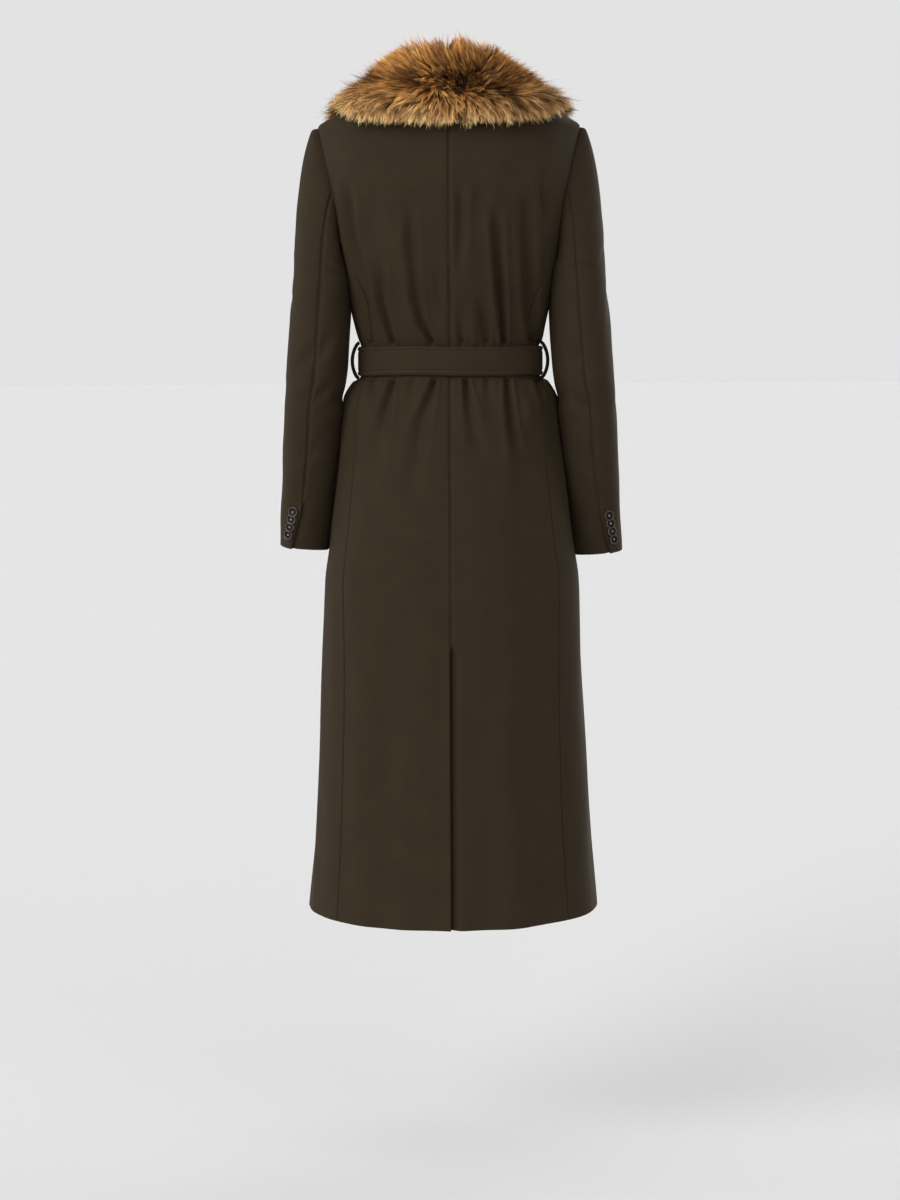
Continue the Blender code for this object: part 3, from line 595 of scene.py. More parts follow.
def clothShell(name, base, normals, lift, thick, uv, flip, inside=None, every=3):
    # a closed cloth wall: a fine outer face, a coarser inner one behind its deepest folds, a rim between
    rows, columns = base.shape[:2]
    keepRows, keepColumns = chosen(rows, every), chosen(columns, every)
    kept = np.ix_(keepRows, keepColumns)
    outer = base + normals * lift[..., None]
    inner = (base + normals * (lowest(lift, every) - thick)[..., None])[kept]
    count = rows * columns
    outerIds = np.arange(count).reshape(rows, columns)
    innerIds = count + np.arange(len(keepRows) * len(keepColumns)).reshape(len(keepRows), len(keepColumns))

    def quads(ids):
        corners = (ids[:-1, :-1], ids[:-1, 1:], ids[1:, 1:], ids[1:, :-1])
        return np.stack([c.ravel() for c in corners], 1)

    faces = quads(outerIds).tolist()
    front = len(faces)
    lined = quads(innerIds)[:, ::-1].tolist()
    faces += lined

    def rim(fine, coarse, places):
        for k in range(len(places) - 1):
            run = [int(i) for i in fine[places[k]:places[k + 1] + 1]]
            faces.append([int(coarse[k]), int(coarse[k + 1]), *run[::-1]])

    rim(outerIds[0], innerIds[0], keepColumns)
    rim(outerIds[-1][::-1], innerIds[-1][::-1], [columns - 1 - c for c in keepColumns[::-1]])
    rim(outerIds[:, -1], innerIds[:, -1], keepRows)
    rim(outerIds[:, 0][::-1], innerIds[:, 0][::-1], [rows - 1 - r for r in keepRows[::-1]])
    if flip:
        faces = [face[::-1] for face in faces]
    slots = np.zeros(len(faces), np.int32)
    slots[front:front + len(lined)] = 1
    points = np.concatenate([outer.reshape(-1, 3), inner.reshape(-1, 3)])
    uv = np.concatenate([uv.reshape(-1, 2), uv[kept].reshape(-1, 2)])
    return meshPiece(name, points, faces, [wool, inside or lining], slots, uv)


edgeSteps = np.array([0.0, 0.45, 0.9, 1.5, 2.3, 3.4, 5.0, 7.2]) * mm


def columnPlaces(width, count):
    # distances across a panel, closer together near both edges; one row of places for each width
    width = np.asarray(width, float)[:, None]
    steps = edgeSteps[None] * np.minimum(1.0, width * 0.3 / edgeSteps[-1])
    first, last = steps, width - steps[:, ::-1]
    middle = mix(first[:, -1:], last[:, :1], np.linspace(0, 1, count + 2)[None, 1:-1])
    return np.concatenate([first, middle, last], 1)


def rowHeights(low, high, step):
    # heights up a panel, closer together at both ends
    return columnPlaces([high - low], max(2, round((high - low) / step)))[0] + low


seam = {
    "depth": 2.2 * mm,
    "half": 1.6 * mm,
    "pucker": 0.22 * mm,
    "puckerLength": 16 * mm,
    "puckerHalf": 5 * mm,
    "pressed": 4 * mm,           # folds are a little flatter this near a seam
    "flatter": 0.85,
}


def seamDip(distance, height, seed):
    # cloth drawn in along a seam, with slight uneven puckers
    pucker = seam["pucker"] * ripple(np.stack([height, distance * 0.4], -1), seam["puckerLength"], seed)
    return pucker * bell(distance, seam["puckerHalf"]) - seam["depth"] * bell(distance, seam["half"])


def nearSeam(distance):
    return np.clip(distance / seam["pressed"], seam["flatter"], 1.0)


def foldedEdge(distance, radius=1.2 * mm):
    # the rounded outer side of a turned edge
    inside = np.clip(1 - distance / radius, 0.0, 1.0)
    return -radius * (1 - np.sqrt(1 - inside ** 2)) * 0.9


hemRise = {"sides": 7 * mm, "middle": -3 * mm, "reach": 0.23}


def hemLift(turn, height):
    # the hem rides up a little towards the sides
    rise = mix(hemRise["middle"], hemRise["sides"], np.abs(np.sin(turn)) ** 3)
    return rise * eased((coat["hem"] + hemRise["reach"] - height) / hemRise["reach"])


def bodyPanel(name, first, last, heights, out, side, columns, dips=None):
    # a cloth panel between two turns at each height
    rowHeight, first, turned = heights[:, None], first[:, None], (last - first)[:, None]
    line = planPoint(np.linspace(0, 1, 41)[None] * turned + first, rowHeight)
    width = np.linalg.norm(np.diff(line, axis=1), axis=-1).sum(1)
    places = columnPlaces(width, columns)
    width = width[:, None]
    share = places / width
    turn = first + turned * share
    height = rowHeight + (dips(share, rowHeight) if dips else 0 * share)
    lift = out(turn, height, places, width - places)
    points = planPoint(side * turn, height)
    points[..., 2] += hemLift(turn, height)
    uv = together(side * (places - width / 2), height)
    return clothShell(name, points, planNormal(side * turn, height), lift, coat["cloth"], uv, flip=side > 0)


panel = {
    "top": -0.5 * mm,
    "backStep": 4.2 * mm,        # between rows
    "sideStep": 4.6 * mm,
    "frontStep": 4.4 * mm,
    "backColumns": 84,
    "sideColumns": 40,
    "frontColumns": 62,
    "armholeDip": 1.2 * mm,      # the back is drawn in further along the armhole
    "armholeHalf": 4.5 * mm,
    "sideBlend": -0.290,         # above this the side panel's rows bend down to the foot of the armhole
    "sideDeeper": 1.7,           # its back seam is deeper above the waist
}

vent = {
    "lift": 2.8 * mm,            # of the upper edge
    "sink": 4.6 * mm,            # of the edge under it
    "reach": 5.6 * mm,
    "stitch": 10 * mm,           # a pressed line beside the edge
    "stitchDeep": 0.5 * mm,
    "stitchHalf": 0.9 * mm,
    "opens": 12 * mm,
    "parts": 1.3 * mm,
    "flat": 6 * mm,              # folds fade this near the centre
}


def ventShare(height):
    # nothing at the top of the vent, all of it a little lower
    return eased((coat["ventTop"] - height) / vent["opens"])


def backPanel(word, side):
    heights = rowHeights(coat["hem"], panel["top"], panel["backStep"])

    def out(turn, height, fromCentre, fromOuter):
        open_ = ventShare(height)
        centre = seamDip(fromCentre, height, 11) * (1 - open_)
        reach = bell(fromCentre, vent["reach"])
        if side > 0:
            groove = vent["stitchDeep"] * bell(fromCentre - vent["stitch"], vent["stitchHalf"])
            centre = centre + open_ * (vent["lift"] * reach + foldedEdge(fromCentre) - groove)
        else:
            centre = centre - open_ * vent["sink"] * reach
        lift = drape(side * turn, height) * np.clip(fromCentre / vent["flat"], 0.15, 1.0) + centre
        # pressed towards the side, so that the back lies over the side panel
        onSeam = eased((coat["seamStartHeight"] - height) / 0.03)
        lift = lift * nearSeam(fromOuter) + seamDip(fromOuter, height, 12) * mix(1.0, 0.5, onSeam)
        lift = lift - panel["armholeDip"] * bell(fromOuter, panel["armholeHalf"]) * (1 - onSeam)
        return lift + foldedEdge(height - coat["hem"])

    first = ventShare(heights) * vent["parts"] / bodyAt(heights)[1] * (side > 0)
    last = outerEdges(heights)[0]
    return bodyPanel(f"back_{word}_cloth", first, last, heights, out, side, panel["backColumns"])


def armholeDip(share):
    # how far the foot of the armhole lies below the tops of the side panel's seams
    reach = side90 - armhole(coat["seamStart"])[0]
    wanted = np.abs(mix(reach, -reach, share))
    low, high = np.full(share.shape, coat["seamStart"]), np.full(share.shape, math.pi)
    for _ in range(30):
        middle = (low + high) / 2
        wide = side90 - armhole(middle)[0] > wanted
        low, high = np.where(wide, middle, low), np.where(wide, high, middle)
    return coat["seamStartHeight"] - armhole(low)[1]


def sidePanel(word, side):
    heights = rowHeights(coat["hem"], coat["seamStartHeight"], panel["sideStep"])

    def dips(share, height):
        rise = (height - panel["sideBlend"]) / (coat["seamStartHeight"] - panel["sideBlend"])
        return -np.clip(rise, 0.0, 1.0) * armholeDip(share)

    def out(turn, height, fromBack, fromFront):
        lift = drape(side * turn, height) * nearSeam(np.minimum(fromBack, fromFront))
        deeper = mix(1.0, panel["sideDeeper"], eased((height + 0.345) / 0.03))
        lift = lift + seamDip(fromBack, height, 12) * deeper + seamDip(fromFront, height, 13)
        return lift + foldedEdge(height - coat["hem"])

    first, last = outerEdges(heights)
    return bodyPanel(f"side_{word}_cloth", first, last, heights, out, side, panel["sideColumns"], dips)


def frontPanel(word, side):
    heights = rowHeights(coat["hem"], panel["top"], panel["frontStep"])
    over = side < 0

    def out(turn, height, fromSide, fromFree):
        lift = drape(side * turn, height) * nearSeam(fromSide) + seamDip(fromSide, height, 13)
        free = np.where(height < coat["lapelBreak"], foldedEdge(fromFree), 0.0)
        return lift + overlapLift(turn) * over + free + foldedEdge(height - coat["hem"])

    first, last = outerEdges(heights)[1], frontEdge(heights)
    return bodyPanel(f"front_{word}_cloth", first, last, heights, out, side, panel["frontColumns"])


def declareCloth(piece, nodes):
    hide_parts(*nodes)


def bodyNodes(panelName, word):
    # a panel is one cut piece; its solids are in three lengths
    return [f"{panelName}_{word}_{length}" for length in ("top", "hip", "skirt")]


for word, side in sides:
    declareCloth(backPanel(word, side), bodyNodes("back", word))
    declareCloth(sidePanel(word, side), bodyNodes("side", word))
    declareCloth(frontPanel(word, side), bodyNodes("front", word))
print("body panels made")

underlap = {
    "across": (-12 * mm, 44 * mm),
    "columns": 22,
    "step": 8 * mm,
    "fromHem": 0.5 * mm,
    "thick": 2.0 * mm,
    "behind": 0.7 * mm,          # clear of the back's inner face
    "sink": 4.2 * mm,            # further in behind the open edge
    "sinkAt": -2 * mm,
    "sinkHalf": 12 * mm,
}


def ventUnderlap():
    # the right back's extension, which lies behind the open vent
    heights = rowHeights(coat["hem"] + underlap["fromHem"], coat["ventTop"], underlap["step"])
    along = np.linspace(*underlap["across"], underlap["columns"])[None]
    turn = front180 - turnAt(along, heights[:, None])
    height = np.broadcast_to(heights[:, None], turn.shape)
    sink = ventShare(height) * underlap["sink"] * bell(along - underlap["sinkAt"], underlap["sinkHalf"])
    lift = np.minimum(drape(turn, height), 0) - (coat["cloth"] + underlap["behind"] + sink)
    points = planPoint(turn, height)
    points[..., 2] += hemLift(turn, height)
    return clothShell("vent_underlap_cloth", points, planNormal(turn, height), lift, underlap["thick"],
                      together(along, height), flip=True)


declareCloth(ventUnderlap(), ["vent_underlap"])
print("vent made")


# sleeves

# height, middle across, half width, middle in depth, half depth, turn of the back seam
sleeveAt = smoothTable([
    (-0.265, 0.1800, 0.0418, 0.004, 0.066, 90),
    (-0.3265, 0.1845, 0.0432, 0.008, 0.064, 90),
    (-0.383, 0.1887, 0.0436, 0.009, 0.061, 90),
    (-0.412, 0.1915, 0.0425, 0.008, 0.060, 90),
    (-0.4405, 0.1970, 0.0393, 0.005, 0.058, 90),
    (-0.512, 0.2025, 0.0378, -0.006, 0.055, 90),
    (-0.584, 0.2082, 0.0358, -0.020, 0.052, 88),
    (-0.617, 0.2106, 0.0351, -0.027, 0.050, 81),
    (-0.651, 0.2130, 0.0345, -0.036, 0.048, 70),
])

sleeve = {
    "top": -0.265,
    "end": -0.651,
    "step": 3.6 * mm,            # between rows
    "forearmSeam": math.radians(-105),
    "clear": 0.4 * mm,
    "rests": 7.5 * mm,           # how much fuller the inner side is where it rests on the skirt
    "restsBelow": -0.420,
    "radius": 45 * mm,
    "square": 2.5,               # 2 would be a plain oval
    "behind": 8 * mm,            # how far the under sleeve reaches behind the cuff's vent
    "higher": {1: 1.5 * mm, -1: -7.5 * mm},
    "level": 8.5 * mm,
    "leaves": 0.42,
    "crown": 5 * mm,             # how far the sleeve head stands out just past the shoulder seam
    "crownAt": 0.05,
    "arrives": 0.95,
    "turnedIn": 5 * mm,          # the seam allowance below the armhole's edge
    "swell": 0.7 * mm,
    "swellLength": 70 * mm,
    "ventOver": 1.9 * mm,        # the cuff's vent: how far its edges part
    "ventUnder": 2.6 * mm,
    "ventReach": 8 * mm,
}

# folds in the sleeves: (mm round from the outer side by the back, mm height, mm deep, mm half width)
sleeveFolds = {
    1: [
        [(4, -190, 0, 7), (20, -205, 1.8, 7), (44, -232, 0, 9)],
        [(-12, -282, 0, 7), (8, -300, 2, 7), (34, -330, 0.8, 9), (52, -352, 0, 9)],
        [(96, -330, 0, 8), (76, -368, 2.2, 8), (48, -392, 1.2, 9), (20, -404, 0, 9)],
        [(104, -398, 0, 7), (84, -420, 2.4, 7), (60, -436, 1, 9), (40, -444, 0, 9)],
        [(-30, -398, 0, 8), (-6, -420, 1.6, 8), (20, -452, 0, 10)],
        [(92, -480, 0, 9), (74, -506, 1.6, 9), (46, -530, 0, 10)],
        [(4, -500, 0, 10), (10, -560, 1.2, 10), (14, -610, 0, 10)],
        [(-70, -300, 0, 9), (-60, -380, 2, 9), (-64, -440, 0, 9)],
        [(-90, -360, 0, 7), (-70, -400, 2.2, 7), (-40, -416, 0, 8)],
    ],
    -1: [
        [(2, -186, 0, 7), (22, -214, 2, 7), (40, -246, 0, 9)],
        [(-8, -262, 0, 7), (6, -290, 2.2, 7), (22, -340, 1, 9), (30, -376, 0, 9)],
        [(92, -210, 0, 8), (72, -236, 1.8, 8), (50, -258, 0, 9)],
        [(100, -352, 0, 8), (78, -380, 2.2, 8), (50, -398, 1, 9), (26, -406, 0, 9)],
        [(102, -412, 0, 7), (80, -440, 2, 7), (54, -462, 0, 9)],
        [(-26, -410, 0, 8), (0, -436, 1.8, 8), (24, -470, 0, 10)],
        [(90, -500, 0, 9), (70, -526, 1.6, 9), (42, -548, 0, 10)],
        [(8, -520, 0, 10), (8, -575, 1.2, 10), (12, -620, 0, 10)],
        [(-72, -310, 0, 9), (-60, -372, 2, 9), (-62, -430, 0, 9)],
    ],
}


def armHeight(row):
    return mix(sleeve["top"], sleeve["end"], row - 1)


def torsoAcross(depth, height):
    halfWidth, back, front, square = bodyAt(height)
    share = np.abs(depth) / np.where(depth > 0, back, front)
    inside = np.maximum(1 - np.minimum(share, 1.0) ** square, 0.0)
    return np.where(share < 1, halfWidth * inside ** (1 / square), 0.0)


def sleeveRing(height, around):
    middle, halfWidth, centre, halfDepth, _ = sleeveAt(height)
    rise = 0.004
    near = np.maximum(height, sleeve["end"] + rise)
    below, above = sleeveAt(near - rise), sleeveAt(near + rise)
    arm = unit(np.stack([above[0] - below[0], above[2] - below[2], 0 * middle + 2 * rise], -1))
    backward = unit(np.array([0.0, 1.0, 0.0]) - arm * arm[..., 1:2])
    outward = np.cross(backward, arm)
    full = sleeve["rests"] * eased((sleeve["restsBelow"] - height) / 0.03)
    full = full * eased(-0.2 - 1.2 * np.cos(around))
    across = halfWidth * signedPower(np.cos(around), 2 / sleeve["square"]) - full
    behind = halfDepth * signedPower(np.sin(around), 2 / sleeve["square"])
    point = together(middle, centre, height)
    return point + outward * across[..., None] + backward * behind[..., None], arm


def sleevePoint(row, around):
    # rows 0 to 1 run over the cap from the armhole, and 1 to 2 down the arm
    lower, arm = sleeveRing(armHeight(np.clip(row, 1.0, 2.0)), around)
    turn, height = armhole(around)
    start = planPoint(turn, height) - planNormal(turn, height) * seam["depth"]
    across, behind = np.cos(around), np.sin(around)
    leave = unit(np.stack([0.65 + 0.35 * across, 0.5 * behind, -0.58 + 0.43 * across], -1))
    t = np.clip(row, 0.0, 1.0)[..., None]
    span = np.linalg.norm(lower - start, axis=-1, keepdims=True)
    cap = curveBetween(start, lower, leave * span * sleeve["leaves"], -arm * span * sleeve["arrives"], t)
    crown = t[..., 0] / sleeve["crownAt"]
    cap[..., 0] += sleeve["crown"] * np.maximum(across, 0.0) * crown * np.exp(1 - crown)
    point = np.where((row < 1)[..., None], cap, lower)
    clear = mix(-seam["depth"], sleeve["clear"], np.minimum(row * 1.5, 1.0))
    point[..., 0] = np.maximum(point[..., 0], torsoAcross(point[..., 1], point[..., 2]) + clear)
    return point


def sleeveNormal(row, around):
    nudge = 0.01
    start = np.maximum(row - nudge, 0.0)
    roundArm = sleevePoint(row, around + nudge) - sleevePoint(row, around - nudge)
    downArm = sleevePoint(start + 2 * nudge, around) - sleevePoint(start, around)
    return unit(np.cross(downArm, roundArm))


def sleeveSeam(row):
    turn = sleeveAt(armHeight(np.clip(row, 1.0, 2.0)))[4]
    return np.radians(np.where(row < 1, 90.0, turn))


def sleeveOut(row, around, side):
    # folds and soft swelling of the sleeve's cloth, less at the outer and inner sides
    height = armHeight(np.clip(row, 0.55, 2.0))
    ring = np.remainder(around + math.pi * 0.75, 2 * math.pi) - math.pi * 0.75
    drawn = 1.4 * foldDepth(sleeveFolds[side], ring * sleeve["radius"], height)
    place = np.stack([np.cos(around) * 0.045, np.sin(around) * 0.06, height], -1)
    swell = sleeve["swell"] * ripple(place, sleeve["swellLength"], 21 + side)
    return (swell - drawn) * mix(0.45, 1.0, np.sin(around) ** 2) * eased((row - 0.12) / 0.4)


def cuffLift(row, around, side):
    # the cuffs end nearly level, though the forearms lean, and the left one hangs higher than the right
    return (sleeve["higher"][side] + sleeve["level"] * np.sin(around)) * eased((row - 1.4) / 0.6)


def sleevePart(name, side, upper):
    armRows = rowHeights(sleeve["end"], sleeve["top"], sleeve["step"])[::-1] - sleeve["top"]
    armRows = 1 + armRows / (sleeve["end"] - sleeve["top"])
    rows = np.concatenate([[0.0, 0.006, 0.014, 0.026, 0.045], np.linspace(0.07, 0.985, 30), armRows])
    back = sleeveSeam(rows)
    forearm = np.full(rows.shape, sleeve["forearmSeam"])
    # the cuff's short vent opens the seam beside the buttons; the under sleeve reaches behind it
    opens = eased((rows - 1.79) / 0.08)
    behind = opens * sleeve["behind"]
    first = forearm if upper else back - behind / sleeve["radius"]
    last = back if upper else forearm + 2 * math.pi
    width = (last - first) * sleeve["radius"]
    places = columnPlaces(width, 44 if upper else 38)
    width = width[:, None]
    around = first[:, None] + (last - first)[:, None] * places / width
    row = np.broadcast_to(rows[:, None], around.shape)
    height = armHeight(row)
    fromBack, fromFront = (width - places, places) if upper else (places, width - places)
    opens = opens[:, None]
    lift = sleeveOut(row, around, side) * np.clip(np.minimum(fromBack, fromFront) / 5 / mm, 0.25, 1.0)
    dip = seamDip(fromBack, height, 31) * (1 - opens) + seamDip(fromFront, height, 32)
    lift = lift + dip * eased(row / 0.1)
    if upper:
        over = sleeve["ventOver"] * bell(fromBack, sleeve["ventReach"])
        lift = lift + opens * (over + foldedEdge(fromBack))
    else:
        past = np.maximum(fromBack - behind[:, None], 0.0)
        lift = lift - opens * sleeve["ventUnder"] * bell(past, sleeve["ventReach"])
    lift = lift + foldedEdge((height - sleeve["end"]) * (row > 1) + (row <= 1))
    flipped = mirrored(side)
    base = sleevePoint(row, around) * flipped
    base[..., 2] += cuffLift(row, around, side)
    base[0] -= planNormal(*armhole(around[0])) * flipped * sleeve["turnedIn"]
    normals = sleeveNormal(np.maximum(row, 0.16), around) * flipped
    uv = together(side * (places - width / 2), height)
    return clothShell(name, base, normals, lift, coat["cloth"], uv, flip=side > 0)


for word, side in sides:
    upper = sleevePart(f"upper_sleeve_{word}_cloth", side, True)
    under = sleevePart(f"under_sleeve_{word}_cloth", side, False)
    declareCloth(upper, [f"upper_sleeve_{word}_arm", f"upper_sleeve_{word}_forearm"])
    declareCloth(under, [f"under_sleeve_{word}_arm", f"under_sleeve_{word}_forearm"])
print("sleeves made")


# lapels, rolled back from the fronts' edges

# share of the way up the roll line, width, rise of the outer edge
lapelAt = smoothTable([
    (0.00, 0.006, 0.000),
    (0.20, 0.036, 0.004),
    (0.55, 0.070, 0.010),
    (0.85, 0.088, 0.018),
    (1.00, 0.092, 0.023),
])
lapelShape = {
    "foot": -0.336,
    "underFoot": -0.264,
    "top": -0.094,
    "step": 3.2 * mm,
    "thick": 2.0 * mm,
    "roll": 3.0 * mm,
    "rollDip": 1.3 * mm,         # the roll turns under at the free edge
    "rollHalf": 1.6 * mm,
    "bow": 3.5 * mm,
    "stitchIn": 7 * mm,
    "stitchDeep": 0.35 * mm,
    "stitchHalf": 0.9 * mm,
    "swell": 0.5 * mm,
    "swellLength": 60 * mm,
}


def lapel(word, side):
    over = side < 0
    low = lapelShape["foot"] if over else lapelShape["underFoot"]
    heights = rowHeights(low, lapelShape["top"], lapelShape["step"])
    share = (heights - lapelShape["foot"]) / (lapelShape["top"] - lapelShape["foot"])
    width, rise = lapelAt(share)
    roll = rollAcross(heights) - lapelShape["roll"]
    if not over:
        hidden = np.maximum(0.0, lapelShape["roll"] * 3 - rollAcross(heights) - roll)
        roll, width = roll + hidden, width - hidden
    places = columnPlaces(width, 34)
    width = width[:, None]
    part = places / width
    height = heights[:, None] + rise[:, None] * part
    turn = turnAt(roll[:, None] + places, height)
    bow = lapelShape["bow"] * np.sin(math.pi * part) ** 0.7
    settle = mix(1.8, 0.9, share)[:, None] * mm
    lift = coat["cloth"] + settle + bow + overlapLift(turn) * over
    lift = lift - lapelShape["rollDip"] * bell(places, lapelShape["rollHalf"])
    # the outer edge is pressed thin
    edge = np.minimum(width - places, (lapelShape["top"] - heights)[:, None])
    lift = lift - lapelShape["stitchDeep"] * bell(edge - lapelShape["stitchIn"], lapelShape["stitchHalf"])
    swell = lapelShape["swell"] * ripple(np.stack([places, height], -1), lapelShape["swellLength"], 41 + side)
    lift = lift + foldedEdge(edge) + swell
    base, normals = planPoint(side * turn, height), planNormal(side * turn, height)
    uv = np.stack([-side * places, height], -1)
    return clothShell(f"lapel_{word}_cloth", base, normals, lift, lapelShape["thick"], uv, side < 0, wool)


for word, side in sides:
    declareCloth(lapel(word, side), [f"lapel_{word}"])
print("lapels made")


# the belt, its knot, ends and loops

belt = {
    "thick": 4.2 * mm,
    "half": 20.5 * mm,
    "wall": 3.6 * mm,
    "gapAtKnot": math.radians(3),
    "seat": 0.9 * mm,
    "sag": 0.9 * mm,
    "sways": 0.7 * mm,
    "wave": 0.6 * mm,
    "stitchIn": 6.5 * mm,
    "stitchPress": 1.1 * mm,     # how deep the stitching draws the face in
    "edgeSwell": 0.5 * mm,
    "stitchLength": 3.4 * mm,
    "stitchGap": 0.8 * mm,
    "stitchHalf": 0.32 * mm,
    "stitchHigh": 0.28 * mm,
}


def beltFace(across, half):
    # a stuffed band's face: rounded edges and two pressed lines of stitching
    edge = half - np.abs(across)
    face = -1.5 * mm * np.clip(1 - edge / 3 / mm, 0.0, 1.0) ** 2
    face = face - belt["stitchPress"] * bell(edge - belt["stitchIn"], 1.0 * mm)
    return face + belt["edgeSwell"] * bell(edge - belt["stitchIn"] / 2, 2.0 * mm)


bandSteps = np.array([-20.5, -20.0, -19, -17.8, -16.5, -15.4, -14.6, -14, -13.4, -12.6, -11, -8, -4, 0]) * mm
bandAcross = np.concatenate([bandSteps, -bandSteps[-2::-1]])
stitchColumns = [int(np.argmin(np.abs(bandAcross - place * mm))) for place in (-14, 14)]


def beltLine(turn):
    # where the belt's middle runs: it dips a little behind and rides the gathers unevenly
    sag = belt["sag"] * np.cos(turn) + belt["sways"] * ripple(together(np.sin(turn), np.cos(turn)), 1.1, 51)
    return coat["beltMiddle"] + sag * eased((front180 - np.abs(turn)) / 0.5)


def beltBand():
    end = front180 - belt["gapAtKnot"]
    turn = np.linspace(-end, end, 331)[:, None]
    across = bandAcross[None]
    base = planPoint(turn, coat["beltMiddle"])
    wave = belt["wave"] * ripple(together(np.sin(turn), np.cos(turn), across * 12), 0.9, 52)
    lift = belt["seat"] + overlapLift(turn) + belt["thick"] + beltFace(across, belt["half"]) + wave
    points = base + 0 * lift[..., None]
    points[..., 2] = beltLine(turn) + across
    normals = planNormal(turn, coat["beltMiddle"]) * np.array([1.0, 1.0, 0.0])
    normals = np.broadcast_to(normals, points.shape)
    uv = together(across, lengthAlong(base[:, 0])[:, None])
    piece = clothShell("belt_cloth", points, normals, lift, belt["wall"], uv, flip=False, inside=wool)
    return piece, points + normals * lift[..., None], normals


# share of a stitch's length, and of its width and height there; then the points round it
stitchAlong = [(0.0, 0.35, 0.15), (0.18, 0.9, 0.8), (0.5, 1.0, 1.0), (0.82, 0.9, 0.8), (1.0, 0.35, 0.15)]
stitchRound = [(-1.0, 0.0), (-0.7, 0.8), (0.0, 1.0), (0.7, 0.8), (1.0, 0.0)]


def stitching(name, lines):
    # small domed stitches laid along lines
    length, gap = belt["stitchLength"], belt["stitchGap"]
    made, faces = [], []
    for points, normals in lines:
        along = lengthAlong(points)

        def read(values, at):
            return np.array([np.interp(at, along, values[:, k]) for k in range(3)])

        for start in np.arange(gap, along[-1] - length, length + gap):
            faces += tubeFaces(len(stitchAlong), len(stitchRound), len(made))
            for share, wide, high in stitchAlong:
                at = start + length * share
                here, out = read(points, at), unit(read(normals, at))
                across = unit(np.cross(out, read(points, at + 0.5 * mm) - here))
                for sideways, up in stitchRound:
                    rise = belt["stitchHigh"] * high * up if up else -0.3 * mm     # edges go into the cloth
                    made.append(here + across * belt["stitchHalf"] * wide * sideways + out * rise)
    piece = meshPiece(name, made, faces, [tonalThread])
    turned = bmesh.new()
    turned.from_mesh(piece.data)
    bmesh.ops.recalc_face_normals(turned, faces=turned.faces)
    turned.to_mesh(piece.data)
    turned.free()
    return piece


band, bandPoints, bandNormals = beltBand()
beltSewing = stitching("belt_stitching", [(bandPoints[:, c], bandNormals[:, c]) for c in stitchColumns])
declareCloth(band, ["belt"])

# rise from the belt's middle, share of the width, share of the depth
knotAt = smoothTable([
    (-0.0258, 0.62, 0.30),
    (-0.0225, 0.86, 0.72),
    (-0.012, 0.98, 0.95),
    (0.0, 1.0, 1.0),
    (0.012, 0.95, 0.96),
    (0.0205, 0.80, 0.74),
    (0.0242, 0.52, 0.30),
])
knotShape = {
    "foot": -25.8 * mm,
    "top": 24.2 * mm,
    "thick": 17 * mm,
    "halfWidth": 24 * mm,
    "behind": 0.6 * mm,
    "folds": [(14, 2.6, 1.5), (-4, 3.0, 1.8), (-21, 2.6, 1.2)],     # place, half width and depth in mm
}


def beltKnot():
    # one end passed over the band and pulled down: a squashed wrap with slanting folds
    front = planPoint(front180, coat["beltMiddle"])[1] - belt["seat"] - coat["overlapLift"] - belt["thick"]
    rise = np.linspace(knotShape["foot"], knotShape["top"], 46)[:, None]
    angle = np.linspace(0, 2 * math.pi, 73)[None, :-1]
    wide, deep = knotAt(rise)
    x = knotShape["halfWidth"] * wide * np.cos(angle)
    folds = 0 * x
    for place, half, depth in knotShape["folds"]:
        folds = folds + depth * mm * bell(x * 0.8 + rise - place * mm, half * mm)
    bulge = (0.5 + 0.5 * np.sin(angle)) ** 2
    y = front - knotShape["behind"] - (knotShape["thick"] * deep - folds) * bulge
    points = together(x, y, coat["beltMiddle"] + rise)
    faces = tubeFaces(*x.shape, flip=True)
    return meshPiece("belt_knot_cloth", points, faces, [wool], uv=points[..., [0, 2]], sharp=80)


tailShape = {
    "below": 7.5 * mm,           # the belt's foot
    "half": 20 * mm,
    "atKnot": 0.55,              # narrowed and pleated where it leaves the knot
    "pleat": 1.6 * mm,
    "beside": 0.6 * mm,
    "clear": 1.2 * mm,
    "sway": 1.6 * mm,
    "away": 1.2 * mm,
    "wall": 3.4 * mm,
    "footRadius": 2 * mm,
}


def beltTail(word, side, length, lean):
    # a free end hanging in front of the skirt, cut square with a slight turn of its own
    share = np.concatenate([np.linspace(1, 0.06, 60), np.linspace(0.055, 0.0, 12)])[:, None]
    spread = np.minimum(share * 5, 1.0)
    half = tailShape["half"] * mix(tailShape["atKnot"], 1.0, spread)
    across = bandAcross[None] / belt["half"] * half
    height = coat["beltFoot"] - tailShape["below"] - length * share + 0 * across
    turn = turnAt(side * (half + tailShape["beside"] + lean * share) + across, height)
    normals = unit(planNormal(turn, height) * np.array([1.0, 1.0, 0.0]))
    pleats = (1 - spread) * tailShape["pleat"] * np.cos(across / half * 6.5)
    away = (tailShape["sway"] * np.sin(share * 5.2 + side) + tailShape["away"]) * share
    lift = coat["overlapLift"] + tailShape["clear"] + belt["thick"] + beltFace(across, half) + pleats + away
    lift = lift + foldedEdge(length * (1 - share), tailShape["footRadius"])
    base = planPoint(turn, height)
    piece = clothShell(f"belt_end_{word}_cloth", base, normals, lift, tailShape["wall"],
                       together(across, height), flip=False, inside=wool)
    points = base + normals * lift[..., None]
    lines = [(points[2:, c], normals[2:, c]) for c in stitchColumns]
    return piece, stitching(f"belt_end_{word}_stitching", lines)


